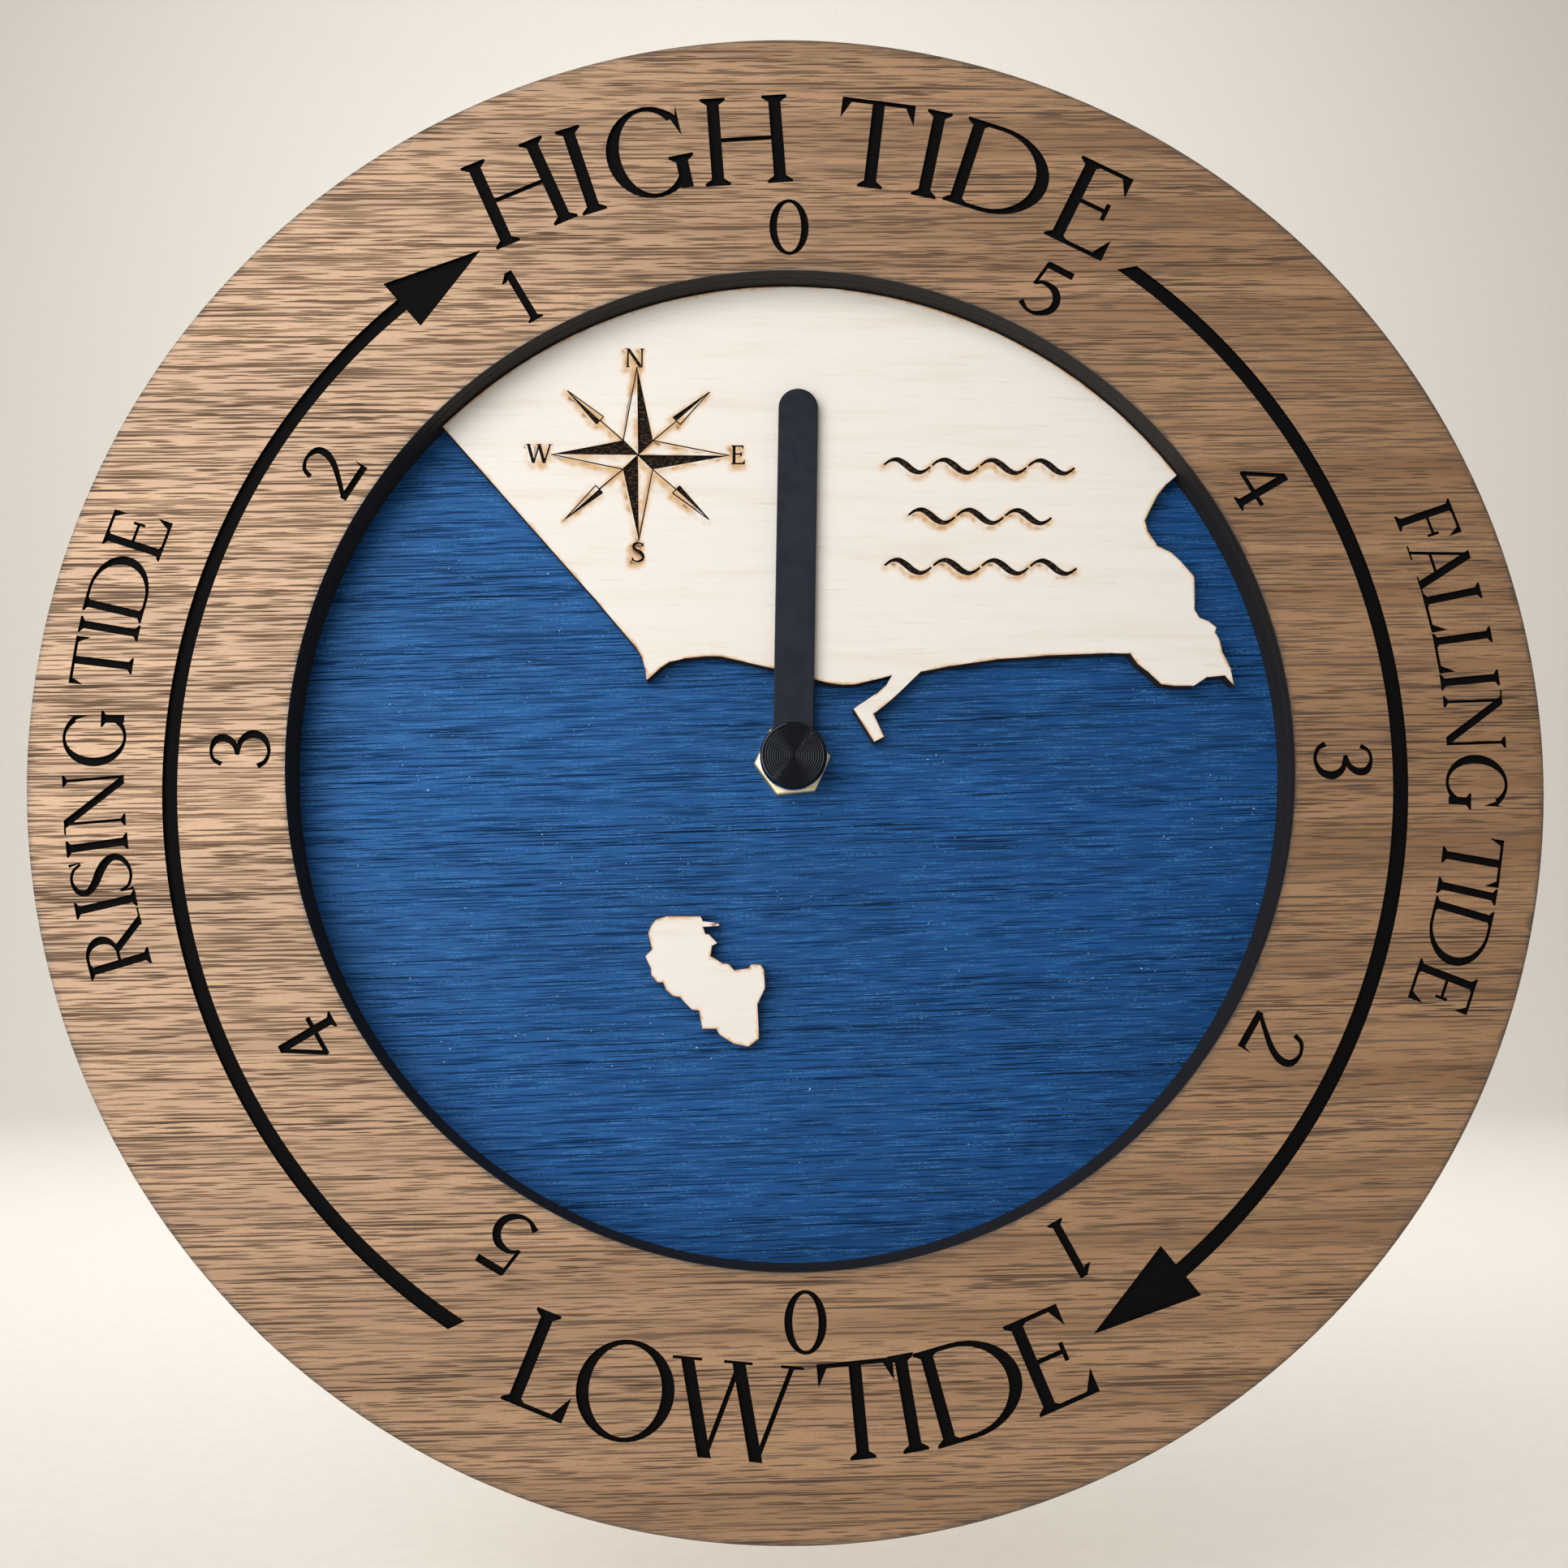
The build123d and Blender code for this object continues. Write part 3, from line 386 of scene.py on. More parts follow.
@dataclass(frozen=True)
class BluePaint(Finish):
    """Matt blue paint brushed on open-grained plywood: grain grooves show dark, high grain is rubbed pale."""

    paint: str = "#17467f"
    thin: str = "#143f72"
    groove: str = "#030b1c"
    rubbed: str = "#3f78b2"
    chip: str = "#a9c2da"
    sheen: str = "#6aa4e6"
    slope: float = 2.0
    groove_rooms: tuple[Point, ...] = ((80, 0.56), (38, 0.46), (17, 0.38))
    ridge_rooms: tuple[Point, ...] = ((24, 0.50), (9, 0.42))
    smooth: float = 0.45
    open_rough: float = 0.95

    def draw(self, tree: bpy.types.NodeTree, shader: bpy.types.Node) -> None:
        """Draw the brushed coat, the grooves, the rubbed grain and a few chips."""
        coat = self.streaks(tree, (55, 9, 16), 3.0)
        # Grooves are about 0.2 mm wide and drawn near 0.3 mm, so that they still show
        grooves = self.layered(tree, self.groove_rooms, self.slope)
        patches = self.streaks(tree, (60, 9, 4), 2.0, 0.0, self.slope)
        ridges = self.layered(tree, self.ridge_rooms, self.slope)
        grit = self.streaks(tree, (0.5, 0.5, 0.35), 2.0)
        chips = self.streaks(tree, (0.6, 2, 0.4), 1.0)
        places = self.streaks(tree, (16, 9, 12), 1.0)
        colour = self.tint(tree, self.step(tree, coat, 0.32, 0.70), self.paint, self.thin)
        strength = add_node(
            tree, "ShaderNodeMapRange", {"From Min": 0.32, "From Max": 0.62, "To Min": 0.5, "To Max": 1.0},
            {"Value": patches},
        ).outputs["Result"]
        lines = add_node(
            tree, "ShaderNodeMath", {"operation": "MULTIPLY"},
            {0: grooves, 1: strength},
        ).outputs[0]
        colour = self.tint(tree, lines, colour, self.groove)
        worn = add_node(
            tree, "ShaderNodeMath", {"operation": "MULTIPLY"},
            {0: ridges, 1: self.step(tree, grit, 0.30, 0.70)},
        ).outputs[0]
        colour = self.tint(tree, worn, colour, self.rubbed)
        bare = add_node(
            tree, "ShaderNodeMath", {"operation": "MULTIPLY"},
            {0: self.step(tree, chips, 0.77, 0.785), 1: self.step(tree, places, 0.55, 0.6)},
        ).outputs[0]
        colour = self.tint(tree, bare, colour, self.chip)
        tree.links.new(colour, shader.inputs["Base Color"])
        self.roughen(tree, shader, lines, self.smooth, self.open_rough)
        shader.inputs["IOR"].default_value = 1.5
        shader.inputs["Specular IOR Level"].default_value = 1.0
        shader.inputs["Specular Tint"].default_value = linear(self.sheen)
        bump = add_node(
            tree, "ShaderNodeBump", {"Strength": 0.6, "Distance": 0.12 * MM, "invert": True}, {"Height": lines}
        )
        tree.links.new(bump.outputs["Normal"], shader.inputs["Normal"])


@dataclass(frozen=True)
class CutEdge(Finish):
    """Plywood cut by heat: a charred wall, nearly black, where the plies still show as faint layers."""

    char: str = "#0f0b09"
    ply: str = "#20160f"
    ply_thick: float = 1.0
    gloss: float = 0.5

    def draw(self, tree: bpy.types.NodeTree, shader: bpy.types.Node) -> None:
        """Draw the char and the plies, which lie one behind the other along Y."""
        plies = self.streaks(tree, (400, self.ply_thick, 400), 0.0)
        soot = self.streaks(tree, (2, 0.6, 2), 3.0)
        colour = self.tint(tree, self.step(tree, plies, 0.4, 0.6), self.char, self.ply)
        colour = self.tint(tree, self.step(tree, soot, 0.45, 0.75), colour, self.char)
        tree.links.new(colour, shader.inputs["Base Color"])
        shader.inputs["Roughness"].default_value = 0.8
        shader.inputs["IOR"].default_value = 1.45
        shader.inputs["Specular IOR Level"].default_value = self.gloss
        bump = add_node(tree, "ShaderNodeBump", {"Strength": 0.4, "Distance": 0.1 * MM}, {"Height": soot})
        tree.links.new(bump.outputs["Normal"], shader.inputs["Normal"])


@dataclass(frozen=True)
class Branded(Finish):
    """Lines burnt into pale wood: brown-black soot, flecked where the wood shows through."""

    soot: str = "#0e0805"
    fleck: str = "#57402e"

    def draw(self, tree: bpy.types.NodeTree, shader: bpy.types.Node) -> None:
        """Draw the soot and its flecks."""
        grit = self.streaks(tree, (0.7, 0.5, 0.4), 2.0)
        colour = self.tint(tree, self.step(tree, grit, 0.48, 0.72), self.soot, self.fleck)
        tree.links.new(colour, shader.inputs["Base Color"])
        shader.inputs["Roughness"].default_value = 0.85
        shader.inputs["IOR"].default_value = 1.45
        shader.inputs["Specular IOR Level"].default_value = 0.2
        bump = add_node(tree, "ShaderNodeBump", {"Strength": 0.3, "Distance": 0.1 * MM}, {"Height": grit})
        tree.links.new(bump.outputs["Normal"], shader.inputs["Normal"])


@dataclass(frozen=True)
class BarePly(Finish):
    """Bare birch plywood, sanded: pale straw, with soft bands along X."""

    light: str = "#d3b689"
    deep: str = "#c29e6c"
    vessel: str = "#8f6a3c"
    slope: float = 1.2
    vessel_rooms: tuple[Point, ...] = ((90, 0.9), (40, 0.7), (18, 0.55))

    def draw(self, tree: bpy.types.NodeTree, shader: bpy.types.Node) -> None:
        """Draw the soft bands, the fine fibres and the vessels."""
        bands = self.streaks(tree, (220, 9, 8), 2.0, 0.0, self.slope)
        fibres = self.streaks(tree, (10, 2, 0.5), 3.0)
        colour = self.tint(tree, self.step(tree, bands, 0.35, 0.7), self.light, self.deep)
        colour = self.tint(tree, self.step(tree, fibres, 0.55, 0.9), colour, self.deep)
        colour = self.tint(tree, self.layered(tree, self.vessel_rooms, self.slope), colour, self.vessel)
        tree.links.new(colour, shader.inputs["Base Color"])
        shader.inputs["Roughness"].default_value = 0.68
        shader.inputs["IOR"].default_value = 1.5
        bump = add_node(tree, "ShaderNodeBump", {"Strength": 0.2, "Distance": 0.08 * MM}, {"Height": fibres})
        tree.links.new(bump.outputs["Normal"], shader.inputs["Normal"])


@dataclass(frozen=True)
class Metal(Finish):
    """A metal with fine tool marks: bright where polished, and clouded where handled."""

    colour: str = "#c0c0c0"
    clouded: str = "#a0a0a0"
    rough: float = 0.3
    metallic: float = 1.0
    marks: tuple[float, float, float] = (0.4, 0.4, 0.4)
    depth: float = 0.01

    def draw(self, tree: bpy.types.NodeTree, shader: bpy.types.Node) -> None:
        """Draw the clouding and the tool marks."""
        clouds = self.streaks(tree, (3, 3, 3), 3.0)
        marks = self.streaks(tree, self.marks, 3.0)
        colour = self.tint(tree, self.step(tree, clouds, 0.35, 0.7), self.colour, self.clouded)
        tree.links.new(colour, shader.inputs["Base Color"])
        self.roughen(tree, shader, clouds, max(self.rough - 0.08, 0.05), self.rough + 0.08)
        shader.inputs["Metallic"].default_value = self.metallic
        bump = add_node(tree, "ShaderNodeBump", {"Strength": 0.3, "Distance": self.depth * MM}, {"Height": marks})
        tree.links.new(bump.outputs["Normal"], shader.inputs["Normal"])


@dataclass(frozen=True)
class Moulded(Finish):
    """A moulded or cast material: even colour, slightly mottled, with the mould's texture."""

    colour: str = "#202022"
    mottled: str = "#28282b"
    rough: float = 0.5
    ior: float = 1.5
    grain: float = 0.3
    depth: float = 0.02

    def draw(self, tree: bpy.types.NodeTree, shader: bpy.types.Node) -> None:
        """Draw the mottling and the mould's texture."""
        mottling = self.streaks(tree, (4, 4, 4), 3.0)
        texture = self.streaks(tree, (self.grain, self.grain, self.grain), 2.0)
        colour = self.tint(tree, self.step(tree, mottling, 0.3, 0.7), self.colour, self.mottled)
        tree.links.new(colour, shader.inputs["Base Color"])
        shader.inputs["Roughness"].default_value = self.rough
        shader.inputs["IOR"].default_value = self.ior
        bump = add_node(tree, "ShaderNodeBump", {"Strength": 0.4, "Distance": self.depth * MM}, {"Height": texture})
        tree.links.new(bump.outputs["Normal"], shader.inputs["Normal"])


# Stained oak-veneered plywood, sanded flat: warm, dull, with dark open pores
STAINED_PLY = StainedPly("stained plywood")
# Birch plywood with white wash: chalky, dull, tan where the cutting heat reached
WHITE_WASH = WhiteWash("white-washed birch plywood")
# Brushed matt paint on plywood: deep blue with dark grain lines
BLUE_PAINT = BluePaint("blue-painted plywood")
# Charred cut faces of plywood: black, dull
CUT_EDGE = CutEdge("charred plywood edge")
# Charred floor of an engraved line: blacker than the wall of a cut
ENGRAVED = CutEdge("charred engraving", char="#060505", ply="#0a0808", gloss=0.12)
# Lines branded into the pale wood: brown-black, flecked
BRANDED = Branded("branded lines")
# Blackened plywood of the spacer: soot black with a brown cast
BLACK_PLY = CutEdge("blackened plywood", char="#12100f", ply="#1d1815")
# Bare birch plywood at the back: pale and dull
BARE_PLY = BarePly("bare birch plywood")
# Black anodised aluminium sheet, brushed along the hand: dark grey satin
ANODISED = Metal("black anodised aluminium", "#2b2e35", "#25282e", 0.42, 1.0, (0.3, 0.3, 6.0), 0.01)
# Black anodised aluminium, turned: darker, with bright rings where the ridges catch light
TURNED_BLACK = Metal("turned black aluminium", "#2a2c31", "#232529", 0.1, 1.0, (0.4, 0.4, 0.4), 0.005)
# Bright turned brass: pale gold, a little clouded
BRASS = Metal("turned brass", "#fcf1d2", "#e9d6a4", 0.38, 1.0, (0.5, 0.5, 0.5), 0.008)
# Nickel-plated sheet: warm silver
NICKEL = Metal("nickel-plated steel", "#cfcabd", "#b9b4a8", 0.28, 1.0, (0.2, 0.2, 3.0), 0.006)
# Punched silicon steel: grey, dull
LAMINATION = Metal("punched silicon steel", "#a9a9a6", "#8f8f8d", 0.42, 1.0, (0.2, 0.2, 2.0), 0.008)
# Ground sintered magnet: dark grey, dull metal
MAGNET = Metal("ground sintered magnet", "#6c6c70", "#5a5a5e", 0.45, 1.0, (0.3, 0.3, 0.3), 0.01)
# Enamelled copper wire: red-brown and glossy
COPPER_WIRE = Metal("enamelled copper wire", "#c8763f", "#a95d2d", 0.3, 1.0, (0.3, 0.3, 0.3), 0.004)
# Black ABS, spark-textured in the mould: dull black with fine sparkle
BLACK_ABS = Moulded("spark-textured black ABS", "#1e1e20", "#262629", 0.52, 1.53, 0.35, 0.03)
# White acetal, moulded: ivory, waxy
WHITE_POM = Moulded("moulded white acetal", "#e6e4da", "#dedbd0", 0.38, 1.48, 0.6, 0.01)
# Green nylon, moulded: half gloss
GREEN_NYLON = Moulded("moulded green nylon", "#3d7f57", "#357049", 0.42, 1.53, 0.5, 0.015)
# Soft black rubber: dull, dusty
RUBBER = Moulded("black rubber", "#1d1c1b", "#2a2927", 0.82, 1.52, 0.4, 0.03)
# Phenolic paper board: brown, dull, with a fine weave
BOARD = Moulded("phenolic paper board", "#9c7a45", "#8a6937", 0.55, 1.58, 0.4, 0.02)
# Cast black epoxy: glossy
EPOXY = Moulded("cast black epoxy", "#161617", "#1c1c1e", 0.22, 1.55, 2.0, 0.03)
# Printed shrink sleeve of a cell, unlettered: smooth grey, glossy
SLEEVE = Moulded("grey shrink sleeve", "#4b5057", "#454a51", 0.28, 1.5, 1.5, 0.01)
# The sleeve's darker band at the raised end
SLEEVE_BAND = Moulded("black shrink sleeve", "#1a1b1d", "#202124", 0.28, 1.5, 1.5, 0.01)


# CAD nodes that keep their own mesh, by the finish they get
CARRIED_OVER: dict[Finish, tuple[str, ...]] = {
    RUBBER: ("rubber_washer",),
    BRASS: ("hand_collet", "center_arbor"),
    WHITE_POM: (
        "tide_wheel", "minute_wheel", "center_wheel", "third_wheel", "second_wheel", "fifth_wheel",
        "rotor_pinion", "set_arbor", "train_plate",
    ),
    LAMINATION: ("stator", "coil_core"),
    GREEN_NYLON: ("coil_bobbin",),
    BOARD: ("circuit_board",),
    NICKEL: ("crystal_can", "contact_positive", "contact_negative"),
    MAGNET: ("rotor_magnet",),
}


@dataclass(frozen=True)
class DialPlace:
    """Where the dial's faces stand, read from the CAD nodes, in metres."""

    across: float
    up: float
    front: float
    joint: float
    overlay: float
    face: float
    back: float
    ring_radius: float
    opening_radius: float
    bore_radius: float

    @classmethod
    def from_cad(cls) -> "DialPlace":
        """Read the places from the rings, the disc and the overlays."""
        low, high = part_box("hand_cap")
        across = (low.x + high.x) / 2
        up = (low.z + high.z) / 2

        def reaches(node: str) -> list[float]:
            """Give the distances of a node's points from the arbor's axis."""
            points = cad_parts[node].data.vertices
            return [math.hypot(point.co.x - across, point.co.z - up) for point in points]

        ring = reaches("front_ring")
        return cls(
            across=across,
            up=up,
            front=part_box("front_ring")[0].y,
            joint=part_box("front_ring")[1].y,
            overlay=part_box("land_overlay")[0].y,
            face=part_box("back_disc")[0].y,
            back=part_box("back_disc")[1].y,
            ring_radius=max(ring),
            opening_radius=min(ring),
            bore_radius=min(reaches("back_disc")),
        )

    def point(self, place: Point, y: float) -> Vector:
        """Give the row frame's point for a place on the dial in millimetres."""
        return Vector((self.across + place[0] * MM, y, self.up + place[1] * MM))


DIAL = DialPlace.from_cad()


def polar(radius: float, degrees: float, centre: Point = (0.0, 0.0)) -> Point:
    """Give the place at a radius and a clockwise angle from the top."""
    turn = math.radians(degrees)
    return centre[0] + radius * math.sin(turn), centre[1] + radius * math.cos(turn)


def circle(radius: float, steps: int) -> Outline:
    """Give a circle's points, anticlockwise, round the arbor."""
    return [polar(radius, -360 * step / steps) for step in range(steps)]


def add_piece(name: str, mesh: bpy.types.Mesh, finishes: Sequence[Finish], body: Body, slot: Slot, *nodes: str) -> None:
    """Put a finished mesh in the scene in place of CAD nodes.

    Args:
        name: Name of the piece.
        mesh: Its mesh, in place in the row frame.
        finishes: Finishes in the order of the mesh's material numbers.
        body: CAD body that carries it.
        slot: Material slot; not used.
        nodes: CAD nodes that it stands for.
    """
    if not mesh.materials:
        for finish in finishes:
            mesh.materials.append(finish.material())
    piece = bpy.data.objects.new(name, mesh)
    bpy.context.scene.collection.objects.link(piece)
    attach(piece, body.value)
    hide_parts(*nodes)
    LOG.info("%s: %d faces on body %s", name, len(mesh.polygons), body.value)


def turned(name: str, profile: Sequence[tuple[float, float, int]], steps: int) -> bpy.types.Mesh:
    """Revolve a closed profile round the arbor's axis.

    Args:
        name: Name of the mesh.
        profile: Corners as (radius, Y in metres, material number of the band that starts there),
            anticlockwise as seen with the radius to the right and the room below.
        steps: Corners round the axis.

    Returns:
        The closed mesh.
    """
    verts: list[Vector] = []
    faces: list[tuple[int, ...]] = []
    numbers: list[int] = []
    count = len(profile)
    for step in range(steps):
        for radius, y, _ in profile:
            verts.append(DIAL.point(polar(radius, 360 * step / steps), y))
    for step in range(steps):
        here = step * count
        there = (step + 1) % steps * count
        for corner, (_, _, number) in enumerate(profile):
            after = (corner + 1) % count
            faces.append((here + corner, there + corner, there + after, here + after))
            numbers.append(number)
    mesh = bpy.data.meshes.new(name)
    mesh.from_pydata(verts, [], faces)
    mesh.polygons.foreach_set("material_index", numbers)
    tidy(mesh)
    return mesh


def tidy(mesh: bpy.types.Mesh, smooth_below: float = 30.0) -> None:
    """Merge a mesh's doubles, point its faces outwards and smooth its gentle edges.

    Args:
        mesh: A closed mesh.
        smooth_below: Edges under this angle, in degrees, are shaded smooth.
    """
    shape = bmesh.new()
    shape.from_mesh(mesh)
    bmesh.ops.remove_doubles(shape, verts=shape.verts, dist=0.001 * MM)
    bmesh.ops.dissolve_degenerate(shape, edges=shape.edges, dist=0.0005 * MM)
    bmesh.ops.recalc_face_normals(shape, faces=shape.faces)
    shape.to_mesh(mesh)
    shape.free()
    mesh.polygons.foreach_set("use_smooth", [True] * len(mesh.polygons))
    mesh.set_sharp_from_angle(angle=math.radians(smooth_below))


def softened(node: str, width: float, segments: int = 2) -> bpy.types.Mesh:
    """Copy a CAD node with its hard edges rounded.

    Args:
        node: Name of the CAD node.
        width: Width of the rounding in millimetres.
        segments: Facets of the rounding.

    Returns:
        The rounded copy, in place.
    """
    shape = bmesh.new()
    shape.from_mesh(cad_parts[node].data)
    bmesh.ops.remove_doubles(shape, verts=shape.verts, dist=0.001 * MM)
    bmesh.ops.dissolve_limit(shape, angle_limit=math.radians(1.0), verts=shape.verts, edges=shape.edges)
    hard = [edge for edge in shape.edges if edge.is_manifold and edge.calc_face_angle() > math.radians(40)]
    bmesh.ops.bevel(
        shape, geom=hard, offset=width * MM, segments=segments, profile=0.5, affect="EDGES", clamp_overlap=True
    )
    mesh = bpy.data.meshes.new(node + "_rounded")
    shape.to_mesh(mesh)
    shape.free()
    mesh.polygons.foreach_set("use_smooth", [True] * len(mesh.polygons))
    mesh.set_sharp_from_angle(angle=math.radians(20))
    return mesh


def front_loops(node: str) -> list[Outline]:
    """Read the outlines of a flat CAD node's front face.

    Args:
        node: Name of a node whose front is a plane facing the room.

    Returns:
        Closed loops in millimetres from the arbor, the outer one anticlockwise.
    """
    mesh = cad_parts[node].data
    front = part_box(node)[0].y
    runs: set[tuple[Point, Point]] = set()
    for face in mesh.polygons:
        corners = [mesh.vertices[number].co for number in face.vertices]
        if all(abs(corner.y - front) < 0.001 * MM for corner in corners):
            places = [
                (round((corner.x - DIAL.across) / MM, 4), round((corner.z - DIAL.up) / MM, 4)) for corner in corners
            ]
            runs.update(zip(places, places[1:] + places[:1]))
    follow = {start: end for start, end in runs if (end, start) not in runs}
    return chained(follow)


def chained(follow: dict[Any, Any]) -> list[list[Any]]:
    """Chain a table of next points into closed loops.

    Args:
        follow: The next point for each point of the loops.

    Returns:
        The loops, each as its points in order.
    """
    loops = []
    while follow:
        start, after = follow.popitem()
        loop = [start]
        while after != start:
            loop.append(after)
            after = follow.pop(after)
        loops.append(loop)
    return loops


@dataclass
class EngravedPlate:
    """A flat plate with charred lines sunk into its front.

    Attributes:
        loops: Outlines in millimetres, the plate's own first and its holes after.
        strokes: Closed shapes of the engraved lines, which may overlap.
        front: Y of the front face, in metres.
        back: Y of the back face, in metres.
        depth: Depth of the lines in millimetres.
        grid: Distance between the face's inner points, which carry the heat marks, in millimetres.
        stroke_heat: How far heat marks reach from a line, in millimetres.
        edge_heat: How far heat marks reach from an outline, in millimetres.
        drift: How far the smoke of a line was blown, in millimetres.
        rim: Distance from an outline of the points that keep its heat mark narrow, in millimetres.
    """

    loops: list[Outline]
    strokes: list[Outline]
    front: float
    back: float
    depth: float
    grid: float
    stroke_heat: float
    edge_heat: float
    drift: Point = (0.0, 0.0)
    rim: float = 0.35
    verts: list[Vector] = field(default_factory=list)
    faces: list[tuple[int, ...]] = field(default_factory=list)
    numbers: list[int] = field(default_factory=list)
    known: dict[tuple[int, float], int] = field(default_factory=dict)

    def inner_points(self) -> list[Point]:
        """Give the points of a hexagonal grid that lie on the plate."""
        sides = [(a, b) for loop in self.loops for a, b in zip(loop, loop[1:] + loop[:1])]
        lows = [min(point[axis] for point in self.loops[0]) for axis in (0, 1)]
        highs = [max(point[axis] for point in self.loops[0]) for axis in (0, 1)]
        rise = self.grid * math.sqrt(3) / 2
        points: list[Point] = []
        for row in range(int((highs[1] - lows[1]) / rise)):
            level = lows[1] + (row + 0.51) * rise
            crossings = sorted(
                a[0] + (level - a[1]) / (b[1] - a[1]) * (b[0] - a[0])
                for a, b in sides if (a[1] > level) != (b[1] > level)
            )
            for left, right in zip(crossings[::2], crossings[1::2]):
                first = math.ceil((left - lows[0]) / self.grid + row % 2 / 2)
                last = math.floor((right - lows[0]) / self.grid + row % 2 / 2)
                points += [(lows[0] + (n - row % 2 / 2) * self.grid, level) for n in range(first, last + 1)]
        return points

    def rim_points(self) -> list[Point]:
        """Give the points that lie just inside the outlines."""
        points: list[Point] = []
        for number, loop in enumerate(self.loops):
            inward = self.rim if number == 0 else -self.rim
            for before, here, after in zip(loop[-1:] + loop, loop, loop[1:] + loop[:1]):
                along = Vector(after) - Vector(before)
                if along.length > 0:
                    points.append((
                        here[0] - along.y / along.length * inward, here[1] + along.x / along.length * inward
                    ))
        return points

    def corner(self, number: int, place: Vector, y: float) -> int:
        """Give the mesh's number for a flat point at a depth, adding it once."""
        key = (number, y)
        if key not in self.known:
            self.known[key] = len(self.verts)
            self.verts.append(DIAL.point((place.x, place.y), y))
        return self.known[key]

    def add(self, number: int, *corners: int) -> None:
        """Add a face with its material number."""
        self.faces.append(corners)
        self.numbers.append(number)

    def build(self, name: str) -> bpy.types.Mesh:
        """Cut the lines into the front and close the plate.

        Args:
            name: Name of the mesh.

        Returns:
            A closed mesh with material 0 on the face, 1 in the lines, 2 on the edges and 3 on the
            back, and an attribute "scorch" that holds the heat marks.
        """
        shapes = self.loops + self.strokes
        flat = [Vector(point) for shape in shapes for point in shape]
        flat += [Vector(point) for point in self.inner_points() + self.rim_points()]
        ends = [0]
        for shape in shapes:
            ends.append(ends[-1] + len(shape))
        outlines = [list(range(a, b)) for a, b in zip(ends, ends[1:])]
        points, _, triangles, _, _, sources = delaunay_2d_cdt(flat, [], outlines, 1, 1e-4)
        holes = set(range(1, len(self.loops)))
        floor = self.front + self.depth * MM
        level: dict[tuple[int, int], float] = {}
        kept: list[tuple[list[int], float]] = []
        for triangle, source in zip(triangles, sources):
            inside = set(source)
            if 0 in inside and not inside & holes:
                y = floor if max(inside) >= len(self.loops) else self.front
                kept.append((triangle, y))
                level.update({pair: y for pair in zip(triangle, triangle[1:] + triangle[:1])})
        for triangle, y in kept:
            self.add(0 if y == self.front else 1, *[self.corner(number, points[number], y) for number in triangle])
        cuts: list[Vector] = []
        rim: dict[int, int] = {}
        edges: list[Vector] = []
        for (a, b), y in level.items():
            across = level.get((b, a))
            run = (points[b] - points[a]).length
            samples = [points[a].lerp(points[b], n / max(int(run / 0.5), 1)) for n in range(int(run / 0.5) + 1)]
            if across is None:
                rim[a] = b
                edges += samples
                lower = [self.corner(n, points[n], self.back) for n in (a, b)]
                upper = [self.corner(n, points[n], y) for n in (b, a)]
                self.add(2, *lower, *upper)
            elif y == floor and across == self.front:
                cuts += samples
                top = [self.corner(n, points[n], self.front) for n in (a, b)]
                bottom = [self.corner(n, points[n], floor) for n in (b, a)]
                self.add(1, *top, *bottom)
        self.close_back(points, rim)
        mesh = bpy.data.meshes.new(name)
        mesh.from_pydata(self.verts, [], self.faces)
        mesh.polygons.foreach_set("material_index", self.numbers)
        self.mark_heat(mesh, points, cuts, edges)
        return mesh

    def close_back(self, points: Sequence[Vector], rim: dict[int, int]) -> None:
        """Close the plate's back between the loops of its rim.

        Args:
            points: Flat points of the plate.
            rim: The next point for each point of the rim.
        """
        loops = chained(rim)
        spans = [max(points[n].x for n in loop) - min(points[n].x for n in loop) for loop in loops]
        outer = spans.index(max(spans))
        loops = [loop if number == outer else loop[::-1] for number, loop in enumerate(loops)]
        order = [number for loop in loops for number in loop]
        flat = [points[number] for number in order]
        ends = [0]
        for loop in loops:
            ends.append(ends[-1] + len(loop))
        outlines = [list(range(a, b)) for a, b in zip(ends, ends[1:])]
        _, _, triangles, origins, _, sources = delaunay_2d_cdt(flat, [], outlines, 1, 1e-6)
        for triangle, source in zip(triangles, sources):
            if set(source) == {outer}:
                numbers = [order[origins[corner][0]] for corner in reversed(triangle)]
                self.add(3, *[self.corner(number, points[number], self.back) for number in numbers])

    def mark_heat(
        self, mesh: bpy.types.Mesh, points: Sequence[Vector], cuts: Sequence[Vector], edges: Sequence[Vector]
    ) -> None:
        """Store how strongly heat has marked each point.

        Args:
            mesh: The finished mesh.
            points: Flat points of the plate.
            cuts: Points along the engraved lines.
            edges: Points along the outlines.
        """
        heat = [0.0] * len(self.verts)
        for sources, reach, drift in ((cuts, self.stroke_heat, self.drift), (edges, self.edge_heat, (0.0, 0.0))):
            if not sources or reach <= 0:
                continue
            tree = KDTree(len(sources))
            for number, place in enumerate(sources):
                tree.insert((place.x, place.y, 0.0), number)
            tree.balance()
            for (number, y), place in self.known.items():
                if y == self.front:
                    distance = tree.find((points[number].x - drift[0], points[number].y - drift[1], 0.0))[2]
                    heat[place] = max(heat[place], math.exp(-((distance / reach) ** 1.2) * 2.2))
        layer = mesh.attributes.new("scorch", "FLOAT", "POINT")
        layer.data.foreach_set("value", heat)


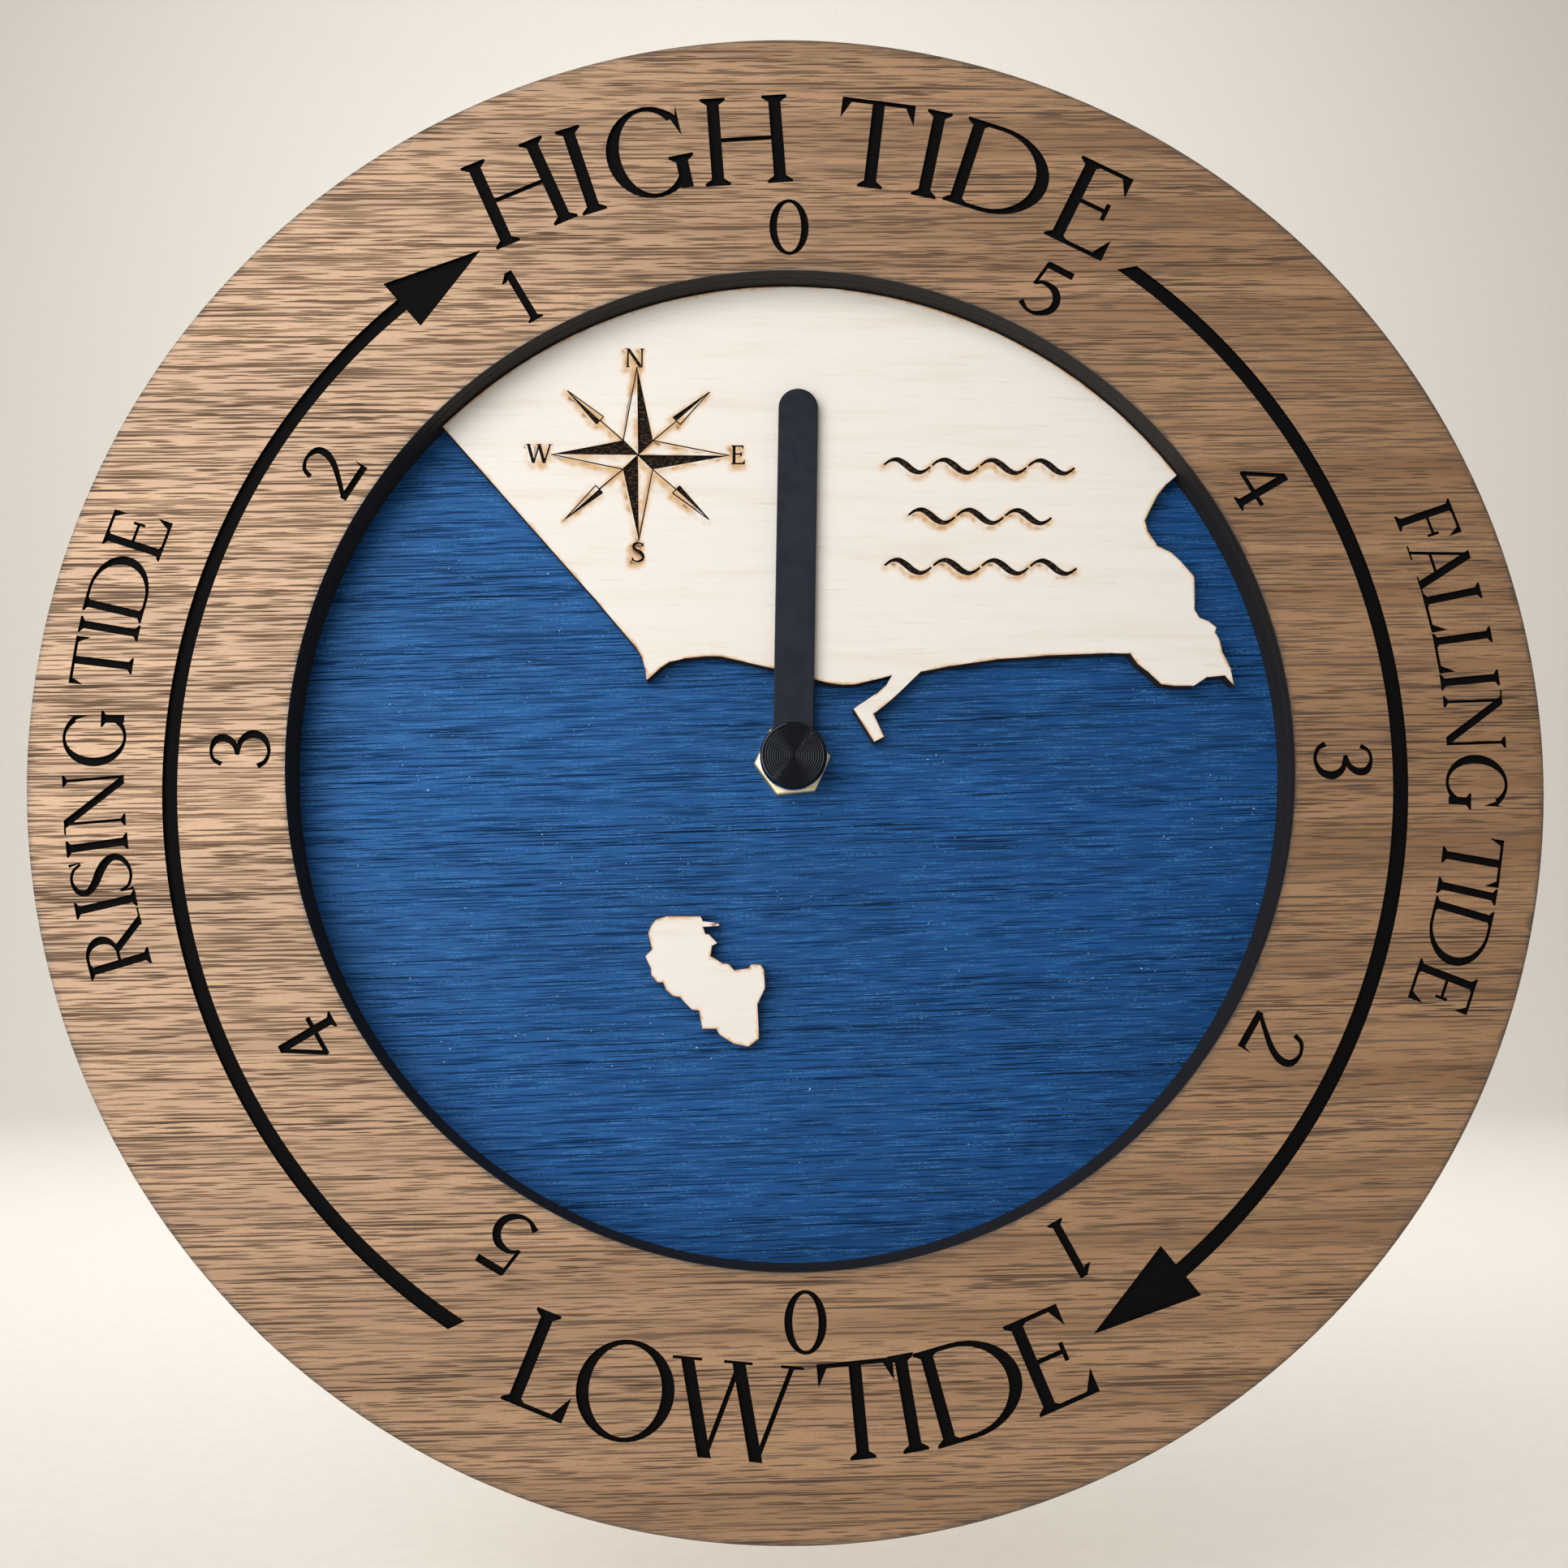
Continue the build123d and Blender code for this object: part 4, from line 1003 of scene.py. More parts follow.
@dataclass(frozen=True)
class SerifCapitals:
    """Plain bracketed serif capitals and figures of the engraver's own drawing, one unit high.

    Attributes:
        stem: Width of a heavy stroke.
        hair: Width of a thin stroke.
        serif: How far a serif stands out from its stroke.
        slab: Thickness of a serif's end.
        bracket: Rise of a serif's bracket.
    """

    stem: float = 0.133
    hair: float = 0.05
    serif: float = 0.07
    slab: float = 0.03
    bracket: float = 0.05

    def upright(
        self, middle: float, heavy: bool = True, foot: bool = True, head: bool = True, low: float = 0.0, high: float = 1.0
    ) -> Outline:
        """Draw an upright stroke.

        Args:
            middle: Place of its middle.
            heavy: Whether it is a stem or a hairline.
            foot: Whether it stands on a serif.
            head: Whether a serif tops it.
            low: Its lower end.
            high: Its upper end.

        Returns:
            The stroke's outline.
        """
        half = (self.stem if heavy else self.hair) / 2
        reach = half + self.serif
        rise = self.slab + self.bracket
        points: Outline = []
        if foot:
            points += [(middle - half, low + rise), (middle - reach, low + self.slab), (middle - reach, low)]
            points += [(middle + reach, low), (middle + reach, low + self.slab), (middle + half, low + rise)]
        else:
            points += [(middle - half, low), (middle + half, low)]
        if head:
            points += [(middle + half, high - rise), (middle + reach, high - self.slab), (middle + reach, high)]
            points += [(middle - reach, high), (middle - reach, high - self.slab), (middle - half, high - rise)]
        else:
            points += [(middle + half, high), (middle - half, high)]
        return points

    def level(self, left: float, right: float, low: float, thick: float | None = None) -> Outline:
        """Draw a level stroke from its lower edge."""
        high = low + (self.hair if thick is None else thick)
        return [(left, low), (right, low), (right, high), (left, high)]

    def slant(self, start: Point, end: Point, width: float) -> Outline:
        """Draw a slanting stroke with level ends, of a width measured level."""
        half = width / 2
        return [
            (start[0] - half, start[1]), (start[0] + half, start[1]), (end[0] + half, end[1]), (end[0] - half, end[1]),
        ]

    def beak(self, tip: float, level: float, run: float, rise: float) -> Outline:
        """Draw the three-cornered end of an arm, which runs back and rises or drops from its tip."""
        corners = [(tip, level), (tip, level + rise), (tip - run, level)]
        return corners if run * rise > 0 else corners[::-1]

    def bowl(
        self, centre: Point, outer: Point, inner: Point, first: float = 0.0, last: float = 360.0, lean: float = 0.0
    ) -> list[Outline]:
        """Draw a round stroke between two ellipses.

        Args:
            centre: Middle of both.
            outer: Half width and half height of the outer ellipse.
            inner: Half width and half height of the inner ellipse.
            first: Angle where it starts, anticlockwise from the right.
            last: Angle where it ends.
            lean: Turn of the inner ellipse.

        Returns:
            Four-cornered pieces of the stroke.
        """
        steps = max(int((last - first) / 9), 4)
        tilt = math.radians(lean)
        rails: list[tuple[Point, Point]] = []
        for step in range(steps + 1):
            turn = math.radians(first + (last - first) * step / steps)
            x = inner[0] * math.cos(turn - tilt)
            y = inner[1] * math.sin(turn - tilt)
            rails.append((
                (centre[0] + outer[0] * math.cos(turn), centre[1] + outer[1] * math.sin(turn)),
                (centre[0] + x * math.cos(tilt) - y * math.sin(tilt), centre[1] + x * math.sin(tilt) + y * math.cos(tilt)),
            ))
        return [[a[0], b[0], b[1], a[1]] for a, b in zip(rails, rails[1:])]

    def ribbon(self, spine: Sequence[tuple[float, float, float]], steps: int = 5) -> list[Outline]:
        """Draw a curved stroke of changing width.

        Args:
            spine: Points of its middle, each with the stroke's width there.
            steps: Pieces between two points.

        Returns:
            Four-cornered pieces of the stroke.
        """
        knots = [Vector(point) for point in spine]
        knots = [2 * knots[0] - knots[1], *knots, 2 * knots[-1] - knots[-2]]
        path: list[Vector] = []
        for before, start, end, after in zip(knots, knots[1:], knots[2:], knots[3:]):
            for step in range(steps):
                t = step / steps
                path.append(0.5 * (
                    2 * start + (end - before) * t + (2 * before - 5 * start + 4 * end - after) * t ** 2
                    + (3 * start - before - 3 * end + after) * t ** 3
                ))
        path.append(knots[-2])
        rails: list[tuple[Point, Point]] = []
        for number, middle in enumerate(path):
            run = path[min(number + 1, len(path) - 1)] - path[max(number - 1, 0)]
            length = math.hypot(run.x, run.y)
            side = (-run.y / length * middle.z / 2, run.x / length * middle.z / 2)
            rails.append(((middle.x + side[0], middle.y + side[1]), (middle.x - side[0], middle.y - side[1])))
        return [[a[1], b[1], b[0], a[0]] for a, b in zip(rails, rails[1:])]

    def glyph(self, letter: str) -> list[Outline]:
        """Draw a capital or a figure.

        Args:
            letter: One of the characters that the dial carries.

        Returns:
            Its strokes, with the middle of its width at zero.
        """
        stem, hair = self.stem, self.hair
        arms = [self.level(0.2, 0.65, 1 - hair), self.beak(0.68, 1.0, 0.14, -0.24)]
        middle_arm = [self.level(0.2, 0.57, 0.5), self.upright(0.56, False, False, False, 0.42, 0.62)]
        drawn: dict[str, Callable[[], list[Outline]]] = {
            "A": lambda: [
                self.slant((0.14, 0.0), (0.43, 1.0), hair * 1.1), self.slant((0.73, 0.0), (0.43, 1.0), stem * 1.1),
                self.level(0.24, 0.62, 0.32), self.level(0.02, 0.27, 0.0, self.slab), self.level(0.57, 0.88, 0.0, self.slab),
            ],
            "D": lambda: [
                self.upright(0.2), self.level(0.2, 0.48, 0.0), self.level(0.2, 0.48, 1 - hair),
                *self.bowl((0.46, 0.5), (0.65, 0.5), (0.65 - stem * 1.1, 0.5 - hair), -90, 90),
            ],
            "E": lambda: [
                self.upright(0.2), *arms, *middle_arm, self.level(0.2, 0.70, 0.0), self.beak(0.75, 0.0, 0.16, 0.26),
            ],
            "F": lambda: [self.upright(0.2), *arms, *middle_arm],
            "G": lambda: [
                *self.bowl((0.50, 0.5), (0.48, 0.52), (0.48 - stem * 1.1, 0.52 - hair), 42, 318),
                self.upright(0.81, True, False, True, 0.03, 0.41), self.beak(0.87, 0.86, 0.10, -0.24),
                self.beak(0.87, 0.80, 0.04, 0.18),
            ],
            "H": lambda: [self.upright(0.2), self.upright(0.87), self.level(0.2, 0.87, 0.49)],
            "I": lambda: [self.upright(0.2)],
            "L": lambda: [self.upright(0.2), self.level(0.2, 0.70, 0.0), self.beak(0.75, 0.0, 0.16, 0.28)],
            "N": lambda: [
                self.upright(0.14, False, True, False), self.upright(0.85, False, False, True),
                self.slant((0.81, 0.0), (0.13, 1.0), stem * 1.15), self.level(-0.03, 0.18, 1 - self.slab, self.slab),
            ],
            "O": lambda: self.bowl((0.52, 0.5), (0.515, 0.52), (0.515 - stem, 0.52 - hair), lean=12.0),
            "R": lambda: [
                self.upright(0.2), self.level(0.2, 0.40, 1 - hair), self.level(0.2, 0.44, 0.46),
                *self.bowl((0.39, 0.73), (0.33, 0.27), (0.33 - stem, 0.27 - hair), -90, 90),
                self.slant((0.82, 0.0), (0.44, 0.49), stem * 1.15), self.level(0.72, 1.0, 0.0, self.slab),
            ],
            "S": lambda: [
                *self.ribbon([
                    (0.62, 0.80, hair * 0.9), (0.53, 0.93, hair), (0.36, 0.975, hair), (0.19, 0.90, hair * 1.7),
                    (0.14, 0.76, stem * 0.8), (0.26, 0.62, stem), (0.46, 0.50, stem * 1.1), (0.60, 0.37, stem),
                    (0.64, 0.22, stem * 0.8), (0.53, 0.08, hair * 1.5), (0.34, 0.02, hair), (0.15, 0.08, hair),
                    (0.08, 0.22, hair * 0.9),
                ]),
                self.beak(0.65, 0.99, 0.05, -0.26), self.beak(0.06, 0.01, -0.05, 0.28),
            ],
            "T": lambda: [
                self.upright(0.40, True, True, False), self.level(0.02, 0.78, 1 - hair),
                self.beak(0.80, 1.0, 0.13, -0.24), self.beak(0.0, 1.0, -0.13, -0.24),
            ],
            "W": lambda: [
                self.slant((0.43, 0.0), (0.15, 1.0), stem * 1.05), self.slant((0.43, 0.0), (0.71, 1.0), hair * 1.1),
                self.slant((0.97, 0.0), (0.69, 1.0), stem * 1.05), self.slant((0.97, 0.0), (1.26, 1.0), hair * 1.1),
                self.level(0.0, 0.31, 1 - self.slab, self.slab), self.level(0.54, 0.84, 1 - self.slab, self.slab),
                self.level(1.14, 1.38, 1 - self.slab, self.slab),
            ],
            "0": lambda: self.bowl((0.36, 0.5), (0.345, 0.51), (0.345 - stem * 0.95, 0.51 - hair)),
            "1": lambda: [self.upright(0.30, True, True, False), self.slant((0.15, 0.84), (0.30, 1.0), hair * 1.8)],
            "2": lambda: [
                *self.ribbon([
                    (0.09, 0.74, hair * 1.4), (0.15, 0.90, hair * 1.2), (0.34, 0.975, hair), (0.53, 0.90, hair * 2),
                    (0.57, 0.73, stem * 0.9), (0.48, 0.52, stem * 0.75), (0.28, 0.28, hair * 1.4), (0.09, 0.08, hair * 1.2),
                ]),
                self.level(0.05, 0.70, 0.0, stem * 0.85), self.beak(0.73, 0.0, 0.08, 0.26),
            ],
            "3": lambda: [
                *self.ribbon([
                    (0.09, 0.80, hair * 1.4), (0.18, 0.94, hair), (0.34, 0.975, hair), (0.50, 0.90, hair * 2),
                    (0.53, 0.75, stem * 0.9), (0.43, 0.60, hair * 1.6), (0.25, 0.54, hair),
                ]),
                *self.ribbon([
                    (0.25, 0.54, hair), (0.48, 0.49, hair * 1.6), (0.60, 0.32, stem), (0.54, 0.12, stem * 0.8),
                    (0.34, 0.02, hair), (0.15, 0.07, hair * 1.2), (0.06, 0.20, hair * 1.6),
                ]),
            ],
            "4": lambda: [
                self.upright(0.49, True, True, False), self.slant((0.06, 0.36), (0.48, 1.0), hair * 1.5),
                self.level(0.03, 0.72, 0.32, hair * 1.3),
            ],
            "5": lambda: [
                self.level(0.19, 0.68, 0.87, stem * 0.9), self.slant((0.135, 0.50), (0.20, 0.98), hair),
                *self.ribbon([
                    (0.13, 0.52, hair), (0.28, 0.60, hair * 1.2), (0.50, 0.56, hair * 2.2), (0.62, 0.40, stem),
                    (0.60, 0.20, stem * 0.9), (0.43, 0.05, hair * 1.4), (0.24, 0.02, hair), (0.06, 0.12, hair * 1.8),
                ]),
            ],
        }
        strokes = drawn[letter]()
        reaches = [point[0] for stroke in strokes for point in stroke]
        middle = (min(reaches) + max(reaches)) / 2
        return [[(x - middle, y) for x, y in stroke] for stroke in strokes]


CAPITALS = SerifCapitals()
FIGURES = SerifCapitals(stem=0.14, hair=0.06)
SMALL_CAPITALS = SerifCapitals(stem=0.16, hair=0.085)


class Reading(Enum):
    """Which way the tops of letters on an arc point."""

    OUTWARD = 1
    INWARD = -1


@dataclass(frozen=True)
class ArcWords:
    """Letters engraved along an arc, each stiff and upright on its own radius.

    Attributes:
        letters: The letters, without spaces.
        angles: Clockwise angle of each letter's middle, round the arc's own centre.
        height: Height of a letter in millimetres.
        baseline: Radius of the letters' feet in millimetres.
        centre: Middle of the arc in millimetres from the arbor.
        reading: Which way the tops point.
        drawing: How the letters are drawn.
    """

    letters: str
    angles: tuple[float, ...]
    height: float
    baseline: float
    centre: Point = (0.0, 0.0)
    reading: Reading = Reading.OUTWARD
    drawing: SerifCapitals = CAPITALS

    def outlines(self) -> list[Outline]:
        """Give the strokes of all the letters on the dial, in millimetres."""
        return [
            stroke for letter, angle in zip(self.letters, self.angles) for stroke in self.placed(letter, angle)
        ]

    def placed(self, letter: str, angle: float) -> list[Outline]:
        """Give a letter's strokes at an angle of the arc.

        Args:
            letter: The letter.
            angle: Clockwise angle of its middle.

        Returns:
            Its strokes in millimetres.
        """
        way = self.reading.value
        out = polar(1.0, angle)
        along = (out[1] * way, -out[0] * way)

        def place(point: Point) -> Point:
            """Put a point of the unit drawing on the dial."""
            across = point[0] * self.height
            reach = self.baseline + way * point[1] * self.height
            return tuple(self.centre[n] + out[n] * reach + along[n] * across for n in (0, 1))

        return [[place(point) for point in stroke] for stroke in self.drawing.glyph(letter)]


@dataclass(frozen=True)
class ArcArrow:
    """An arrow engraved along an arc: a band and a three-cornered head.

    Attributes:
        centre: Middle of the arc in millimetres from the arbor.
        radius: Radius of the band's middle line.
        width: Width of the band.
        first: Clockwise angle where it starts.
        neck: Clockwise angle where the head starts.
        tip: Clockwise angle of the head's tip.
        head: Width of the head.
        trail: Degrees that the band's inner edge runs on behind its start, which cuts its end on the slant.
    """

    centre: Point
    radius: float
    width: float
    first: float
    neck: float
    tip: float
    head: float
    trail: float

    def outlines(self) -> list[Outline]:
        """Give the band and the head, in millimetres."""
        steps = 72
        angles = [self.first + (self.neck - self.first) * step / steps for step in range(steps + 1)]
        outer = [polar(self.radius + self.width / 2, angle, self.centre) for angle in angles]
        angles[0] -= self.trail
        inner = [polar(self.radius - self.width / 2, angle, self.centre) for angle in angles]
        head = [
            polar(self.radius, self.tip, self.centre),
            polar(self.radius - self.head / 2, self.neck, self.centre),
            polar(self.radius + self.head / 2, self.neck, self.centre),
        ]
        return [inner + outer[::-1], head]


@dataclass(frozen=True)
class CompassRose:
    """A traditional compass rose: four split points, four darts and the four letters.

    Attributes:
        centre: Its middle in millimetres from the arbor.
        reaches: Length of the north, east, south and west point.
        lean: How far the north and south points lean to the left, in degrees.
        waist: Half the width of the square between the points.
        dart_tip: How far a dart reaches.
        dart_lean: How far the darts lean from the diagonals towards east and west, in degrees.
        dart_base: Where a dart's blade starts.
        dart_half: Half the width of a dart's blade.
        line: Width of a thin line.
        letter: Height of a letter.
        letter_places: Places of the letters from the middle.
    """

    centre: Point = (-25.5, 50.5)
    reaches: tuple[float, float, float, float] = (15.1, 15.1, 14.5, 14.3)
    lean: float = -1.1
    waist: float = 2.45
    dart_tip: float = 16.0
    dart_lean: float = 2.3
    dart_base: float = 8.6
    dart_half: float = 0.85
    line: float = 0.2
    letter: float = 3.25
    letter_places: tuple[Point, ...] = ((-0.75, 16.6), (16.5, 0.15), (0.2, -16.4), (-16.3, 0.1))

    def place(self, out: float, left: float, quarter: int, turn: float = 0.0) -> Point:
        """Give the place at a distance out from the middle and to the left of a direction."""
        angle = quarter * 90 + turn
        start = polar(out, angle, self.centre)
        return polar(left, angle - 90, start)

    def thin(self, start: Point, end: Point) -> Outline:
        """Draw a thin line between two places."""
        run = math.dist(start, end)
        side = (-(end[1] - start[1]) / run * self.line / 2, (end[0] - start[0]) / run * self.line / 2)
        return [
            (start[0] - side[0], start[1] - side[1]), (end[0] - side[0], end[1] - side[1]),
            (end[0] + side[0], end[1] + side[1]), (start[0] + side[0], start[1] + side[1]),
        ]

    def outlines(self) -> list[Outline]:
        """Give all the rose's strokes, in millimetres."""
        strokes: list[Outline] = []
        for quarter, letter in enumerate("NESW"):
            across = quarter % 2
            tip = self.place(self.reaches[quarter], 0.0, quarter, 0.0 if across else self.lean)
            left = self.place(self.waist, self.waist, quarter)
            right = self.place(self.waist, -self.waist, quarter)
            strokes.append([self.centre, right, tip])
            strokes += [self.thin(left, tip), self.thin(self.centre, left)]
            turn = 45.0 + (-self.dart_lean if across else self.dart_lean)
            dart = self.place(self.dart_tip, 0.0, quarter, turn)
            base = self.place(self.dart_base, 0.0, quarter, turn)
            sides = [self.place(self.dart_base, side * self.dart_half, quarter, turn) for side in (1, -1)]
            strokes.append([base, sides[0], dart])
            strokes += [self.thin(side, dart) for side in sides]
            strokes += [self.thin(sides[0], sides[1]), self.thin(right, base)]
            spot = [self.centre[axis] + self.letter_places[quarter][axis] for axis in (0, 1)]
            strokes += [
                [(spot[0] + x * self.letter, spot[1] + (y - 0.5) * self.letter) for x, y in stroke]
                for stroke in SMALL_CAPITALS.glyph(letter)
            ]
        return [anticlockwise(stroke) for stroke in strokes]


def anticlockwise(outline: Outline) -> Outline:
    """Give an outline's points in anticlockwise order."""
    area = sum(a[0] * b[1] - b[0] * a[1] for a, b in zip(outline, outline[1:] + outline[:1]))
    return outline if area > 0 else outline[::-1]


@dataclass
class DialRings:
    """The engraved front ring, the spacer behind it and the painted disc.

    Attributes:
        steps: Corners round a ring.
        depth: Depth of the engraving in millimetres.
        edge_break: Worn edge between the two rings, in millimetres.
        words: Words and figures round the dial.
        arrows: Arrows between the words.
    """

    steps: int = 240
    depth: float = 0.7
    edge_break: float = 0.25
    words: tuple[ArcWords, ...] = (
        ArcWords("HIGHTIDE", (-24.3, -18.7, -12.7, -4.3, 6.7, 11.7, 17.9, 26.2), 15.3, 103.0, (0.5, -8.0)),
        ArcWords(
            "LOWTIDE", (201.9, 195.0, 185.5, 174.7, 170.4, 164.6, 157.4), 14.5, 108.0, (0.5, 0.0), Reading.INWARD
        ),
        ArcWords(
            "RISINGTIDE", (-106.7, -103.4, -101.0, -98.5, -95.0, -89.7, -83.4, -80.5, -76.9, -72.2),
            9.55, 105.0, (0.0, 1.5),
        ),
        ArcWords(
            "FALLINGTIDE", (70.7, 74.2, 78.2, 81.9, 84.5, 87.9, 93.2, 99.7, 102.4, 106.1, 110.8),
            9.6, 104.5, (0.0, 1.9),
        ),
        ArcWords(
            "054321054321",
            (-0.7, 28.1, 59.4, 90.5, 121.3, 151.1, 179.1, 210.3, 239.1, 270.3, 301.6, 329.1),
            9.4, 82.7, (0.35, 0.0), drawing=FIGURES,
        ),
    )
    arrows: tuple[ArcArrow, ...] = (
        ArcArrow((3.4, -2.4), 101.2, 2.35, -146.9, -41.5, -32.6, 9.4, 0.85),
        ArcArrow((-4.7, -1.2), 101.6, 2.45, 36.6, 140.8, 150.2, 9.6, 1.3),
    )

    def strokes(self) -> list[Outline]:
        """Give all the front ring's engraved strokes."""
        drawn = [stroke for group in (*self.words, *self.arrows) for stroke in group.outlines()]
        return [anticlockwise(stroke) for stroke in drawn]

    def build(self) -> None:
        """Build and dress the rings and the disc."""
        outer = DIAL.ring_radius / MM
        inner = DIAL.opening_radius / MM
        plate = EngravedPlate(
            loops=[circle(outer, self.steps), circle(inner, self.steps)],
            strokes=self.strokes(),
            front=DIAL.front,
            back=DIAL.joint,
            depth=self.depth,
            grid=1.7,
            stroke_heat=0.0,
            edge_heat=0.55,
        )
        mesh = plate.build("front_ring_engraved")
        add_piece(
            "front_ring_engraved", mesh, [STAINED_PLY, ENGRAVED, CUT_EDGE, BARE_PLY], Body.DIAL, Slot.STAINED_PLY,
            "front_ring",
        )
        worn = self.edge_break
        profile = [
            (inner, DIAL.face, 0), (inner, DIAL.joint + worn * MM, 0), (inner + worn, DIAL.joint, 0),
            (outer - worn, DIAL.joint, 0), (outer, DIAL.joint + worn * MM, 0), (outer, DIAL.face, 0),
        ]
        add_piece("spacer_ring_worn", turned("spacer_ring_worn", profile, self.steps), [BLACK_PLY], Body.DIAL,
                  Slot.BLACK_PLY, "spacer_ring")
        bore = DIAL.bore_radius / MM
        profile = [
            (bore, DIAL.back, 1), (bore, DIAL.face, 0), (outer, DIAL.face, 1), (outer, DIAL.back - worn * MM, 1),
            (outer - worn, DIAL.back, 2),
        ]
        add_piece("back_disc_painted", turned("back_disc_painted", profile, self.steps),
                  [BLUE_PAINT, CUT_EDGE, BARE_PLY], Body.DIAL, Slot.BLUE_PLY, "back_disc")


@dataclass
class MapOverlays:
    """The white-washed coast and island, cut from thin plywood.

    Attributes:
        depth: Depth of the engraving in millimetres.
        grid: Distance between the face's inner points in millimetres.
        rose: The compass rose on the coast.
        wave_rows: Rows of engraved waves as (left, level, crests), in millimetres.
        wave_length: Length of a wave.
        wave_rise: Height of a wave.
    """

    depth: float = 0.5
    grid: float = 0.8
    rose: CompassRose = CompassRose()
    wave_rows: tuple[tuple[float, float, int], ...] = ((15.0, 49.0, 4), (19.0, 40.5, 3), (15.0, 32.0, 4))
    wave_length: float = 8.0
    wave_rise: float = 2.2

    def waves(self) -> list[Outline]:
        """Draw rows of plain waves, each crest a stroke that swells in its middle."""
        strokes: list[Outline] = []
        for left, level, crests in self.wave_rows:
            for crest in range(crests):
                start = left + crest * self.wave_length
                spine = []
                for share in (0.02, 0.15, 0.3, 0.45, 0.6, 0.75, 0.88, 0.98):
                    height = math.sin(share * 2 * math.pi) * self.wave_rise / 2
                    width = 0.35 + 0.75 * math.sin(share * math.pi) ** 2
                    spine.append((start + share * self.wave_length, level + height, width))
                strokes += CAPITALS.ribbon(spine)
        return [anticlockwise(stroke) for stroke in strokes]

    def build(self) -> None:
        """Build and dress the coast and the island."""
        drawings = {"land_overlay": self.rose.outlines() + self.waves(), "island_overlay": []}
        for node, strokes in drawings.items():
            low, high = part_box(node)
            loops = sorted(front_loops(node), key=len, reverse=True)
            plate = EngravedPlate(
                loops=loops, strokes=strokes, front=low.y, back=high.y, depth=self.depth, grid=self.grid,
                stroke_heat=0.95, edge_heat=0.5, drift=(-0.3, -0.5),
            )
            name = node + "_scorched"
            add_piece(name, plate.build(name), [WHITE_WASH, BRANDED, CUT_EDGE, BARE_PLY], Body.DIAL,
                      Slot.WHITE_PLY, node)


class ThreadTree:
    """Geometry Nodes tree that winds a ridge round an axis, as a cut thread does."""

    def build(self) -> bpy.types.NodeTree:
        """Give the tree, with inputs Radius, Pitch, Turns, Depth and Finish."""
        tree = bpy.data.node_groups.new("thread ridge", "GeometryNodeTree")
        for name, kind in (("Radius", "Float"), ("Pitch", "Float"), ("Turns", "Float"), ("Depth", "Float"),
                           ("Finish", "Material")):
            tree.interface.new_socket(name=name, in_out="INPUT", socket_type="NodeSocket" + kind)
        tree.interface.new_socket(name="Mesh", in_out="OUTPUT", socket_type="NodeSocketGeometry")
        sizes = add_node(tree, "NodeGroupInput").outputs
        height = add_node(tree, "ShaderNodeMath", {"operation": "MULTIPLY"}, {0: sizes["Pitch"], 1: sizes["Turns"]})
        spiral = add_node(
            tree, "GeometryNodeCurveSpiral", {"Resolution": 48},
            {"Rotations": sizes["Turns"], "Start Radius": sizes["Radius"], "End Radius": sizes["Radius"],
             "Height": height.outputs[0]},
        )
        ridge = add_node(tree, "GeometryNodeCurvePrimitiveCircle", {"Resolution": 4}, {"Radius": sizes["Depth"]})
        swept = add_node(
            tree, "GeometryNodeCurveToMesh", {"Fill Caps": True},
            {"Curve": spiral.outputs["Curve"], "Profile Curve": ridge.outputs["Curve"]},
        )
        plain = add_node(tree, "GeometryNodeRealizeInstances", links={"Geometry": swept.outputs["Mesh"]})
        dressed = add_node(
            tree, "GeometryNodeSetMaterial",
            links={"Geometry": plain.outputs["Geometry"], "Material": sizes["Finish"]},
        )
        add_node(tree, "NodeGroupOutput", links={"Mesh": dressed.outputs["Geometry"]})
        return tree


class WindingTree:
    """Geometry Nodes tree that stacks turns of wire round a square former."""

    def build(self) -> bpy.types.NodeTree:
        """Give the tree, with inputs Width, Corner, Wire, Turns and Finish."""
        tree = bpy.data.node_groups.new("wire turns", "GeometryNodeTree")
        for name, kind in (("Width", "Float"), ("Corner", "Float"), ("Wire", "Float"), ("Turns", "Int"),
                           ("Finish", "Material")):
            tree.interface.new_socket(name=name, in_out="INPUT", socket_type="NodeSocket" + kind)
        tree.interface.new_socket(name="Mesh", in_out="OUTPUT", socket_type="NodeSocketGeometry")
        sizes = add_node(tree, "NodeGroupInput").outputs
        square = add_node(
            tree, "GeometryNodeCurvePrimitiveQuadrilateral", links={"Width": sizes["Width"], "Height": sizes["Width"]}
        )
        rounded = add_node(
            tree, "GeometryNodeFilletCurve", {"mode": "POLY", "Count": 4},
            {"Curve": square.outputs["Curve"], "Radius": sizes["Corner"]},
        )
        half = add_node(tree, "ShaderNodeMath", {"operation": "MULTIPLY", 1: 0.5}, {0: sizes["Wire"]})
        section = add_node(
            tree, "GeometryNodeCurvePrimitiveCircle", {"Resolution": 6}, {"Radius": half.outputs[0]}
        )
        turn = add_node(
            tree, "GeometryNodeCurveToMesh",
            links={"Curve": rounded.outputs["Curve"], "Profile Curve": section.outputs["Curve"]},
        )
        step = add_node(tree, "ShaderNodeCombineXYZ", links={"Z": sizes["Wire"]})
        places = add_node(
            tree, "GeometryNodeMeshLine", {"mode": "OFFSET"},
            {"Count": sizes["Turns"], "Offset": step.outputs["Vector"]},
        )
        stacked = add_node(
            tree, "GeometryNodeInstanceOnPoints",
            links={"Points": places.outputs["Mesh"], "Instance": turn.outputs["Mesh"]},
        )
        plain = add_node(tree, "GeometryNodeRealizeInstances", links={"Geometry": stacked.outputs["Instances"]})
        dressed = add_node(
            tree, "GeometryNodeSetMaterial",
            links={"Geometry": plain.outputs["Geometry"], "Material": sizes["Finish"]},
        )
        add_node(tree, "NodeGroupOutput", links={"Mesh": dressed.outputs["Geometry"]})
        return tree


